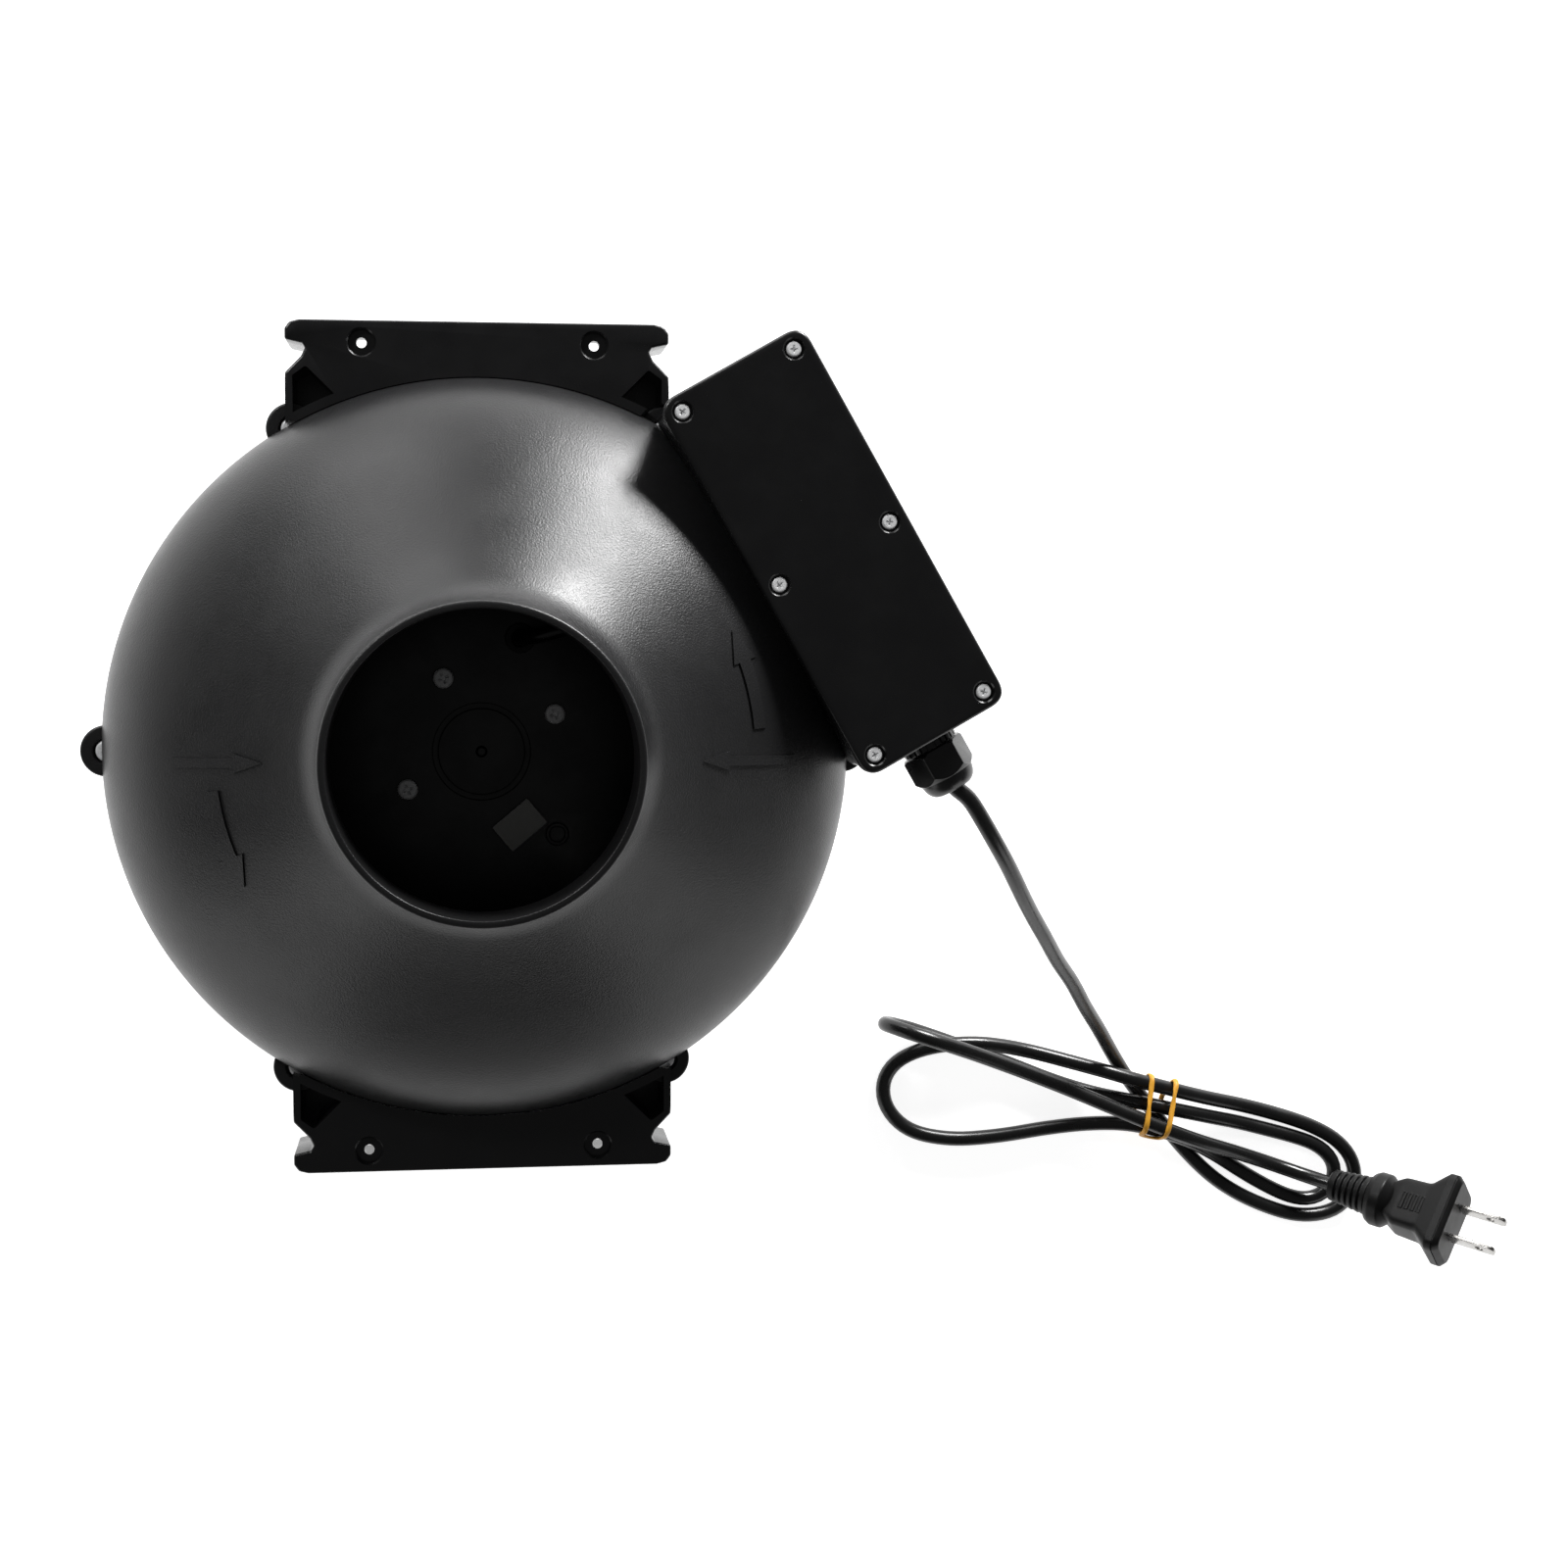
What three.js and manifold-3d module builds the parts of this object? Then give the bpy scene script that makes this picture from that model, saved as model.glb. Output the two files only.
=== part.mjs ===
// Inline duct fan, 100 mm (4 inch) class: two moulded bowls round a backward-curved
// impeller on an external-rotor motor, with a terminal box, two mounting brackets
// and a bundled power cord.
// Millimetres, +Z along the air path towards the outlet, z = 0 at the inlet rim.
import * as THREE from 'three';
import { mergeVertices } from 'three/addons/utils/BufferGeometryUtils.js';
import Module from 'manifold-3d';

const wasm = await Module();
wasm.setup();

// ---------------------------------------------------------------- driving dimensions
const GAP = 0.3; // between touching pieces
const AXIS_X = -20.5; // fan axis, from the middle of the whole part's footprint
const LENGTH = 230; // rim to rim
const SEAM = LENGTH / 2; // joint plane of the two bowls
const BOWL_R = 125.5;
const WALL = 3;
const SPIGOT_R = 48.7; // outside of the duct collars
const THROAT_R = 46.2; // inside of the duct collars
const BOWL_SIDES = 36; // divisions round the bowls

const LUG_R = 8.6; // seam lugs
const LUG_CIRCLE_R = 123.6;
const LUG_HALF_HEIGHT = 6;
const LUG_ANGLES = [0, 60, 120, 180, 240, 300];
const BRACKET_LUGS = [60, 120, 240, 300];
const EAR_T = 2; // bracket ear held between two lugs

const BRACKET = {
  halfWidth: 63.5,
  outerY: 142.5,
  bottom: 97,
  top: 127,
  plate: 6, // thickness of the plate across the top
  wall: 2.4,
  saddleR: 125.9,
};
const BRACKET_HOLE_X = 38.5;
const SADDLE_GAP = 0.4; // between a bracket and the bowls it hugs
const POCKET_FLOOR = 3; // closes the pockets beside the legs

const BOX = {
  length: 139,
  width: 54,
  corner: 6.5,
  wall: 2.5,
  azimuth: 29.6, // of the box's middle, round the fan axis
  radius: 131.5,
  bottom: 127.5,
  rim: 158.6,
  top: 165.5,
};
const COVER_SCREWS_ALONG = [-63.7, 0, 63.7];
const COVER_SCREWS_ACROSS = [-20.8, 20.8];
const BOX_SCREW_TURNS = [-13, 13]; // degrees either side of the box's middle
const BOX_SCREW_Z = 139;

const GLAND_Z = 141;
const GLAND_THREAD_R = 8;

const HUB_TOP = 141; // face of the motor carrier, seen down the outlet
const HUB_R = 60;
const VANE_COUNT = 9;
const MOTOR_SCREW_R = 27.2;
const MOTOR_SCREW_ANGLES = [27, 117, 207, 297];
const SHAFT_R = 4;
const ROTOR_R = 46;
const IMPELLER_R = 92;
const BLADE_COUNT = 7;

const CORD_R = 2.9;

// ---------------------------------------------------------------- materials
const look = (color, roughness, metalness) => new THREE.MeshStandardMaterial({ color, roughness, metalness });
const CASING_BLACK = look(0x232323, 0.45, 0);
const BOX_BLACK = look(0x141414, 0.4, 0);
const IMPELLER_BLACK = look(0x1b1b1c, 0.55, 0);
const RUBBER_BLACK = look(0x171717, 0.8, 0);
const CORD_BLACK = look(0x161616, 0.35, 0);
const BAND_ORANGE = look(0xd8961e, 0.6, 0);
const ZINC = look(0xc4c6c8, 0.3, 1);
const NICKEL = look(0xd2d0cc, 0.22, 1);
const STEEL = look(0x8d9094, 0.35, 1);
const ALUMINIUM = look(0xa9abad, 0.45, 1);
const COPPER_WINDING = look(0x8a4b2a, 0.5, 0.6);
const IVORY_PLASTIC = look(0xdedbd0, 0.5, 0);
const SEAL_PAPER = look(0x5a5a58, 0.6, 0);

// ---------------------------------------------------------------- solids
const rad = THREE.MathUtils.degToRad;
const polar = (r, degrees) => [r * Math.cos(rad(degrees)), r * Math.sin(rad(degrees))];

function signedVolume(p, t) {
  const a = new THREE.Vector3();
  const b = new THREE.Vector3();
  const c = new THREE.Vector3();
  let sum = 0;
  for (let i = 0; i < t.length; i += 3) {
    a.fromArray(p, t[i] * 3);
    b.fromArray(p, t[i + 1] * 3);
    c.fromArray(p, t[i + 2] * 3);
    sum += a.dot(b.cross(c));
  }
  return sum;
}

// A three.js geometry as a closed solid with its faces pointing out.
function solid(geometry) {
  const g = geometry.clone();
  for (const name of ['normal', 'uv']) g.deleteAttribute(name);
  const merged = mergeVertices(g, 1e-4);
  const vertProperties = merged.attributes.position.array;
  const all = merged.index.array;
  let tris = [];
  for (let i = 0; i < all.length; i += 3) {
    const [a, b, c] = [all[i], all[i + 1], all[i + 2]];
    if (a !== b && b !== c && c !== a) tris.push(a, b, c);
  }
  if (signedVolume(vertProperties, tris) < 0) tris = tris.reverse();
  return new wasm.Manifold(new wasm.Mesh({ numProp: 3, vertProperties, triVerts: new Uint32Array(tris) }));
}

function geometryOf(manifold) {
  const mesh = manifold.getMesh();
  const g = new THREE.BufferGeometry();
  g.setAttribute('position', new THREE.BufferAttribute(mesh.vertProperties, 3));
  g.setIndex(new THREE.BufferAttribute(mesh.triVerts, 1));
  g.computeVertexNormals();
  return g;
}

const join = (...parts) => parts.reduce((a, b) => a.add(b));
const cut = (body, ...tools) => tools.reduce((a, b) => a.subtract(b), body);

// Turned about Z: profile is a list of [radius, z].
function turned(profile, sides = 24) {
  const g = new THREE.LatheGeometry(profile.map(([r, z]) => new THREE.Vector2(r, z)), sides);
  return solid(g.rotateX(Math.PI / 2));
}

const ring = (r0, r1, z0, z1, sides) => turned([[r0, z0], [r1, z0], [r1, z1], [r0, z1], [r0, z0]], sides);
const rod = (r, z0, z1, sides = 20) => turned([[0, z0], [r, z0], [r, z1], [0, z1]], sides);
const rodAt = ([x, y], r, z0, z1, sides) => rod(r, z0, z1, sides).translate([x, y, 0]);

function block(x0, x1, y0, y1, z0, z1) {
  const g = new THREE.BoxGeometry(x1 - x0, y1 - y0, z1 - z0);
  return solid(g.translate((x0 + x1) / 2, (y0 + y1) / 2, (z0 + z1) / 2));
}

function extruded(shape, z0, z1, curveSegments = 2) {
  const g = new THREE.ExtrudeGeometry(shape, { depth: z1 - z0, bevelEnabled: false, curveSegments });
  return solid(g.translate(0, 0, z0));
}

const polygon = (points) => new THREE.Shape(points.map(([x, y]) => new THREE.Vector2(x, y)));

function roundedRectangle(length, width, r) {
  const [x, y] = [length / 2 - r, width / 2 - r];
  const s = new THREE.Shape();
  s.absarc(x, y, r, 0, Math.PI / 2);
  s.absarc(-x, y, r, Math.PI / 2, Math.PI);
  s.absarc(-x, -y, r, Math.PI, 1.5 * Math.PI);
  s.absarc(x, -y, r, 1.5 * Math.PI, 2 * Math.PI);
  return s;
}

// A round section carried along a smooth curve through points.
function tube(points, r, sides, steps) {
  const path = new THREE.CatmullRomCurve3(points.map((p) => new THREE.Vector3(...p)), false, 'centripetal');
  const section = new THREE.Shape();
  section.absarc(0, 0, r, 0, 2 * Math.PI);
  return solid(new THREE.ExtrudeGeometry(section, { steps, extrudePath: path, curveSegments: sides / 2 }));
}

// Pan head screw along Z with its head's seat at z = 0, pointing down.
function screw(headR, headH, shankR, length) {
  const shank = [[0, -length], [shankR, -length], [shankR, 0]];
  const head = [[headR, 0], [headR, headH * 0.55], [headR * 0.6, headH], [0, headH]];
  return turned([...shank, ...head], 8);
}

// Curved plates standing round the axis; each turns by sweep degrees from its root to its tip.
function blades({ count, rootR, tipR, sweep, thickness, z0, z1, start = 0 }) {
  const steps = 4;
  const made = [];
  for (let k = 0; k < count; k += 1) {
    const sides = [[], []];
    for (let i = 0; i <= steps; i += 1) {
      const r = rootR + ((tipR - rootR) * i) / steps;
      const angle = start + (360 * k) / count + (sweep * i) / steps;
      const half = THREE.MathUtils.radToDeg(thickness / 2 / r) / Math.cos(rad(sweep) * 0.9);
      sides[0].push(polar(r, angle + half));
      sides[1].unshift(polar(r, angle - half));
    }
    made.push(extruded(polygon([...sides[1].reverse(), ...sides[0].reverse()]), z0, z1));
  }
  return made;
}

// ---------------------------------------------------------------- the assembly
const fan = new THREE.Group();
fan.position.x = AXIS_X;

function place(name, body, material, parent = fan) {
  const mesh = new THREE.Mesh(geometryOf(body), material);
  mesh.name = name;
  parent.add(mesh);
}

// ---------------------------------------------------------------- bowls
// One bowl's wall from the seam to the duct collar, as [radius, height above the seam];
// inset moves it inwards by about that much.
function bowlCurve(inset, steps = 5) {
  const slant = inset * 0.75;
  const wall = new THREE.CubicBezierCurve(
    new THREE.Vector2(BOWL_R - inset, 0),
    new THREE.Vector2(BOWL_R - inset, 34 - slant),
    new THREE.Vector2(90 - slant, 48 - slant),
    new THREE.Vector2(57 - slant, 76 - slant),
  );
  const neck = new THREE.QuadraticBezierCurve(
    new THREE.Vector2(57 - slant, 76 - slant),
    new THREE.Vector2(50.2 - slant, 81.8 - slant),
    new THREE.Vector2(SPIGOT_R - inset * 0.83, 92 - inset),
  );
  const points = [...wall.getPoints(steps), ...neck.getPoints(2).slice(1)];
  return points.map((p) => [p.x, p.y]);
}

const RIM = LENGTH / 2;
const outerWall = [...bowlCurve(0), [SPIGOT_R, RIM - 7], [SPIGOT_R - 0.9, RIM - 0.8], [SPIGOT_R - 1.5, RIM]];
const innerWall = [...bowlCurve(WALL, 4), [THROAT_R, RIM]];

// Everything within a bowl's outer face grown by grow: cuts whatever sits against it.
function bowlEnvelope(grow) {
  const up = bowlCurve(-grow);
  return turned([[0, 0], ...up, [0, 92 + grow]], BOWL_SIDES).translate([0, 0, SEAM]);
}

// Adds the seam lugs to a bowl; sign is 1 for the bowl with the screw heads.
function lugs(body, sign) {
  let made = body;
  for (const angle of LUG_ANGLES) {
    const at = polar(LUG_CIRCLE_R, angle);
    const [low, high] = [GAP / 2, LUG_HALF_HEIGHT];
    made = made.add(rodAt(at, LUG_R, low, high, 12));
    made = made.subtract(rodAt(at, 2.3, -1, sign > 0 ? high + 1 : high - 1.5, 6));
    if (sign > 0) made = made.subtract(rodAt(at, 4.4, high - 2.6, high + 1, 10));
    if (BRACKET_LUGS.includes(angle)) {
      made = made.subtract(rodAt(at, LUG_R + 0.6, -1, EAR_T / 2 + GAP, 12));
    }
  }
  return made;
}

function addOutletCasing() {
  const lift = [0, 0, SEAM];
  const seam = [[BOWL_R - WALL, GAP / 2], [BOWL_R, GAP / 2]];
  const wall = [...outerWall.slice(1), ...innerWall.slice(1).reverse()];
  const shell = turned([seam[1], ...wall, ...seam], BOWL_SIDES);
  let body = lugs(shell, 1).translate(lift);
  for (const turn of BOX_SCREW_TURNS) {
    const boss = radialRod(BOX.azimuth + turn, BOX_SCREW_Z, 5, 103, 114, 12);
    body = join(body, boss).subtract(radialRod(BOX.azimuth + turn, BOX_SCREW_Z, 1.9, 105, 125, 8));
  }
  body = body.subtract(radialRod(BOX.azimuth, BOX_SCREW_Z, 4.5, 95, 130, 12));
  place('outlet_casing', body, CASING_BLACK);
}

function addInletCasing() {
  // The inlet bowl also carries the bell mouth that feeds the impeller's eye.
  const bell = [[50.5, 78], [46.4, 66], [44.8, 56], [42.8, 56], [43.6, 66], [THROAT_R, 84]];
  const inside = bowlCurve(WALL, 4).slice(1, 5);
  const seam = [[BOWL_R - WALL, GAP / 2], [BOWL_R, GAP / 2]];
  const outside = [seam[1], ...outerWall.slice(1), [THROAT_R, RIM]];
  const shell = turned([...outside, ...bell.reverse(), ...inside.reverse(), ...seam], BOWL_SIDES);
  place('inlet_casing', lugs(shell, -1).mirror([0, 0, 1]).translate([0, 0, SEAM]), CASING_BLACK);
}

// A rod pointing outwards from the fan axis at a height above the table.
function radialRod(azimuth, z, r, from, to, sides = 16) {
  return rod(r, from, to, sides).rotate([0, 90, 0]).rotate([0, 0, azimuth]).translate([0, 0, z]);
}

function addCasingScrews() {
  LUG_ANGLES.forEach((angle, i) => {
    const [x, y] = polar(LUG_CIRCLE_R, angle);
    const body = screw(3.6, 2.2, 1.9, 7.5).translate([x, y, SEAM + LUG_HALF_HEIGHT - 2.6 + GAP]);
    place(`casing_screw_${i + 1}`, body, ZINC);
  });
}

// ---------------------------------------------------------------- mounting brackets
function bracketOutline() {
  const { halfWidth: w, outerY: y } = BRACKET;
  const side = [
    [w, 100], [w, y - 17.5], [w - 5.3, y - 12], // straight side, then the 45 degree shoulder
    [w - 6.6, y - 9.4], [w - 5.6, y - 7.8], [w, y - 6.6], // notch below the flange
    [w, y - 3], [w - 1.6, y - 0.8], [w - 4.8, y], // rounded end of the flange
  ];
  const mirrored = side.map(([px, py]) => [-px, py]).reverse();
  return polygon([...side, ...mirrored]);
}

// hiddenLug: the lug on the +X side lies under the terminal box, so its recess runs right up.
function bracketBody(hiddenLug) {
  const { halfWidth, outerY, bottom, top, plate, wall, saddleR } = BRACKET;
  const saddle = rod(saddleR + 1.5, bottom - 5, top + 5, BOWL_SIDES);
  const bowl = bowlEnvelope(SADDLE_GAP);
  const bowls = join(bowl, bowl.mirror([0, 0, 1]).translate([0, 0, LENGTH]));
  let body = extruded(bracketOutline(), bottom, top).subtract(bowls);
  const hollow = block(-halfWidth + 20, halfWidth - 20, 90, outerY - 3.2, bottom - 1, top - plate);
  body = body.subtract(hollow.subtract(saddle));
  for (const side of [-1, 1]) {
    const inner = halfWidth - wall;
    const straight = [[inner, 95], [inner, outerY - 18.4]];
    const shoulder = [[inner - 4.4, outerY - 15.2], [inner - 34.6, outerY - 45]];
    const pocket = polygon([...straight, ...shoulder].map(([x, y]) => [x * side, y]));
    body = body.subtract(extruded(pocket, bottom + POCKET_FLOOR, top + 1).subtract(saddle));
    const at = polar(LUG_CIRCLE_R, side > 0 ? 60 : 120);
    const above = side > 0 && hiddenLug ? top + 1 : SEAM + LUG_HALF_HEIGHT + GAP;
    body = body.subtract(rodAt(at, LUG_R + 0.6, SEAM - LUG_HALF_HEIGHT - GAP, above, 12));
    const [earLow, earHigh] = [SEAM - EAR_T / 2, SEAM + EAR_T / 2];
    const ear = rodAt(at, LUG_R, earLow, earHigh, 12).subtract(rodAt(at, 2.3, bottom, top, 6));
    const tab = block(-1, 1, 3, LUG_R + 3, earLow, earHigh).translate([side * (halfWidth - 1.2), at[1], 0]);
    body = join(body, tab, ear);
  }
  for (const x of [-BRACKET_HOLE_X, BRACKET_HOLE_X]) {
    const at = [x, outerY - 7.3];
    body = cut(body, rodAt(at, 2.1, bottom, top + 1, 10), rodAt(at, 4.4, top - 2.4, top + 1, 12));
  }
  return body;
}

function addBrackets() {
  place('bracket_top', bracketBody(true), CASING_BLACK);
  place('bracket_bottom', bracketBody(false).rotate([0, 0, 180]), CASING_BLACK);
}

// ---------------------------------------------------------------- terminal box
// The box's own frame: x runs along it towards the gland, y points away from the fan axis.
const boxGroup = new THREE.Group();
boxGroup.position.set(...polar(BOX.radius, BOX.azimuth), 0);
boxGroup.rotation.z = rad(BOX.azimuth - 90);
fan.add(boxGroup);

const inBoxFrame = (body) => {
  const [x, y] = polar(BOX.radius, BOX.azimuth);
  return body.translate([-x, -y, 0]).rotate([0, 0, 90 - BOX.azimuth]);
};

const coverScrewPlaces = COVER_SCREWS_ALONG.flatMap((x) => COVER_SCREWS_ACROSS.map((y) => [x, y]));
const drill = (body, r, z0, z1) => {
  return coverScrewPlaces.reduce((made, at) => made.subtract(rodAt(at, r, z0, z1, 8)), body);
};

// A slab of the box's outline, inset all round.
function boxSlab(inset, z0, z1) {
  const { length, width, corner } = BOX;
  return extruded(roundedRectangle(length - 2 * inset, width - 2 * inset, corner - inset), z0, z1);
}

function addTerminalBox() {
  const { length, bottom, rim, top, wall } = BOX;
  const outside = boxSlab(1, bottom, rim);
  const liner = inBoxFrame(bowlEnvelope(wall + 0.5));
  let base = outside.subtract(boxSlab(1 + wall, bottom + wall, rim + 1).subtract(liner));
  for (const at of coverScrewPlaces) {
    base = base.add(rodAt(at, 4.6, bottom + 1, rim, 8).intersect(outside));
  }
  for (const turn of BOX_SCREW_TURNS) {
    const along = (r, from, to) => inBoxFrame(radialRod(BOX.azimuth + turn, BOX_SCREW_Z, r, from, to, 10));
    base = base.add(along(5.5, 110, 123)).subtract(along(2.2, 100, 124));
  }
  base = drill(base, 1.8, rim - 12, rim + 1);
  base = base.subtract(inBoxFrame(bowlEnvelope(0.5)));
  base = base.subtract(inBoxFrame(radialRod(BOX.azimuth, BOX_SCREW_Z, 4.5, 95, 128, 12)));
  const glandHole = rod(GLAND_THREAD_R + GAP, 0, 20).rotate([0, 90, 0]);
  base = base.subtract(glandHole.translate([length / 2 - 10, 0, GLAND_Z]));
  place('terminal_box_base', base, BOX_BLACK, boxGroup);

  const [gasketLow, gasketHigh] = [rim + GAP, rim + GAP + 1.2];
  const gasket = boxSlab(1.5, gasketLow, gasketHigh).subtract(boxSlab(5.8, rim, rim + 3));
  place('terminal_box_gasket', drill(gasket, 2.2, rim, rim + 3), RUBBER_BLACK, boxGroup);

  const skirt = boxSlab(0, gasketHigh + GAP, top - 1.6);
  const cover = drill(join(skirt, boxSlab(1.5, top - 2, top)), 1.9, rim, top + 1);
  place('terminal_box_cover', drill(cover, 3.3, top - 2.4, top + 1), BOX_BLACK, boxGroup);

  coverScrewPlaces.forEach(([x, y], i) => {
    const body = screw(2.5, 1.7, 1.4, 12).translate([x, y, top - 2.4 + GAP]);
    place(`cover_screw_${i + 1}`, body, ZINC, boxGroup);
  });

  BOX_SCREW_TURNS.forEach((turn, i) => {
    const outwards = screw(3.4, 2, 1.6, 15).rotate([0, 90, 0]).translate([123 + GAP, 0, 0]);
    const body = outwards.rotate([0, 0, BOX.azimuth + turn]).translate([0, 0, BOX_SCREW_Z]);
    place(`box_screw_${i + 1}`, inBoxFrame(body), ZINC, boxGroup);
  });
}

function addElectrics() {
  const floor = BOX.bottom + BOX.wall + GAP;
  const wellPlaces = [16, 28, 40].flatMap((x) => [[x, 8.5], [x, 16.5]]);
  const wells = wellPlaces.map((at) => rodAt(at, 2, floor + 6, floor + 14, 8));
  place('terminal_block', cut(block(10, 46, 4, 21, floor, floor + 13), ...wells), IVORY_PLASTIC, boxGroup);
  const can = turned([[0, 0], [11, 0], [12, 1.5], [12, 44], [10.5, 45], [0, 45]], 16);
  place('run_capacitor', can.rotate([0, 90, 0]).translate([-50, 11, floor + 12.3]), ALUMINIUM, boxGroup);
}

// Body through the wall, locknut inside, rubber seal round the cord and the clamping nut.
// Returns how far along the box the nut's mouth lies.
function addGland() {
  const face = BOX.length / 2 - 1;
  const inBox = face - BOX.wall - GAP;
  const along = (body) => body.rotate([0, 90, 0]).translate([0, 0, GLAND_Z]);
  const bore = CORD_R + GAP;
  const stem = ring(bore + 2.4, GLAND_THREAD_R, face - 9, face + 4, 20);
  const flange = ring(bore + 2.4, 9.6, face + GAP, face + 5.2, 20);
  const clamp = ring(bore + 2.4, 7.2, face + 4, face + 13, 20);
  place('gland_body', along(join(stem, flange, clamp)), BOX_BLACK, boxGroup);
  const locknut = rod(11, inBox - 4, inBox, 6).subtract(rod(GLAND_THREAD_R + GAP, 0, face));
  place('gland_locknut', along(locknut), BOX_BLACK, boxGroup);
  place('gland_seal', along(ring(bore, bore + 2.1, face + 1, face + 14.6, 16)), RUBBER_BLACK, boxGroup);

  const mouthX = face + 21.4;
  const hex = rod(11.2, face + 5.6, face + 16, 6).rotate([0, 0, 30]);
  const dome = turned([[0, face + 15], [9.4, face + 15], [8.4, face + 19], [6.2, mouthX], [0, mouthX]], 20);
  const flats = [[0, face], [10.2, face], [10.2, face + 5.5], [11.4, face + 7], [11.4, face + 14]];
  const chamfered = turned([...flats, [9.4, face + 16.2], [9.4, mouthX + 5], [0, mouthX + 5]], 20);
  const thread = rod(7.2 + GAP, face, face + 13.4);
  const pocket = rod(bore + 2.4, face, face + 15);
  const mouth = rod(bore + GAP, face, mouthX + 5);
  const nut = cut(join(hex, dome).intersect(chamfered), thread, pocket, mouth);
  place('gland_nut', along(nut), BOX_BLACK, boxGroup);
  return mouthX;
}

// ---------------------------------------------------------------- motor and impeller
// The motor's lead climbs through the carrier, crosses it and leaves into the terminal box.
const LEAD_R = 2.4;
const LEAD_HOLE = polar(39.6, 71);
const LEAD = [
  ...[131, 137, 142, 146].map((z) => [...LEAD_HOLE, z]),
  [...polar(43, 63), 151],
  [...polar(56, 50), 152.5],
  [...polar(72, 41), 149],
  [...polar(88, 34), 143],
  [...polar(100, BOX.azimuth + 1), 139.5],
  [...polar(110, BOX.azimuth), 139],
  [...polar(128, BOX.azimuth), 139],
];
const motorScrewPlaces = MOTOR_SCREW_ANGLES.map((angle) => polar(MOTOR_SCREW_R, angle));

// Drum that holds the motor, with guide vanes reaching out to the outlet bowl.
function addMotorCarrier() {
  const inner = HUB_R - 2.5;
  const hub = turned([
    [0, HUB_TOP - 3], [inner, HUB_TOP - 3], [inner, SEAM + 1], // underside
    [HUB_R, SEAM + 1], [HUB_R, HUB_TOP - 2], [HUB_R - 2, HUB_TOP], // outside
    [16.1, HUB_TOP], [16.1, HUB_TOP - 1.4], [14.2, HUB_TOP - 1.4], [14.2, HUB_TOP], [0, HUB_TOP], // groove
  ], 28);
  const inside = turned([[0, 0], ...bowlCurve(WALL + 0.5, 4), [0, 88]], BOWL_SIDES).translate([0, 0, SEAM]);
  const room = inside.subtract(rod(HUB_R - 1, SEAM - 1, SEAM + 90, 28));
  const vanes = blades({
    count: VANE_COUNT,
    rootR: HUB_R - 0.6,
    tipR: 124,
    sweep: -26,
    thickness: 2.2,
    z0: SEAM + 4,
    z1: SEAM + 36,
    start: 5,
  });
  let body = join(hub, ...vanes.map((vane) => vane.intersect(room)));
  for (const at of motorScrewPlaces) body = body.subtract(rodAt(at, 2.1, HUB_TOP - 5, HUB_TOP + 1, 8));
  for (const angle of LUG_ANGLES) {
    body = body.subtract(rodAt(polar(LUG_CIRCLE_R, angle), LUG_R + 0.8, SEAM, SEAM + 8, 12));
  }
  for (const turn of BOX_SCREW_TURNS) {
    body = body.subtract(radialRod(BOX.azimuth + turn, BOX_SCREW_Z, 5.7, 101, 125));
  }
  body = body.subtract(rodAt(LEAD_HOLE, 4.1, HUB_TOP - 5, HUB_TOP + 1, 12));
  place('motor_carrier', body.subtract(tube(LEAD, LEAD_R + 1.2, 8, 14)), CASING_BLACK);

  motorScrewPlaces.forEach(([x, y], i) => {
    place(`motor_screw_${i + 1}`, screw(3.4, 2, 1.8, 9).translate([x, y, HUB_TOP + GAP]), ZINC);
  });
  // The seal is stuck over the head of the last motor screw.
  const [sealX, sealY] = motorScrewPlaces[3];
  const label = block(-7.5, 7.5, -5.2, 5.2, 0, 0.5).rotate([0, 0, 40]);
  place('seal_sticker', label.translate([sealX, sealY, HUB_TOP + 2 + 2 * GAP]), SEAL_PAPER);
}

// Flange and bearing tube, stator on the tube, two bearings inside it.
function addMotor() {
  const top = HUB_TOP - 3 - GAP;
  const disc = ring(11.1, 34, top - 7, top, 24);
  const neck = ring(11.1, 14, 86, top - 3, 24);
  const land = ring(9.5, 12, 94.5, 104, 24);
  const screwHoles = motorScrewPlaces.map((at) => rodAt(at, 2.1, top - 8, top + 1, 8));
  place('motor_flange', cut(join(disc, neck, land), ...screwHoles), ALUMINIUM);
  place('stator', join(ring(14.4, 37, 92, 116, 20), ring(18, 33, 88, 121, 20)), COPPER_WINDING);
  place('bearing_lower', ring(SHAFT_R + 0.12, 10.8, 87, 94, 20), STEEL);
  place('bearing_upper', ring(SHAFT_R + 0.12, 10.8, 104.5, 111.5, 20), STEEL);
  place('motor_lead', tube(LEAD, LEAD_R, 8, 14), RUBBER_BLACK);
  const sleeve = [[2.8, -4.6], [3.7, -4.6], [3.7, GAP], [5, GAP], [5, 1.4], [2.8, 1.4], [2.8, -4.6]];
  place('lead_grommet', turned(sleeve, 12).translate([...LEAD_HOLE, HUB_TOP]), RUBBER_BLACK);
}

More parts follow.
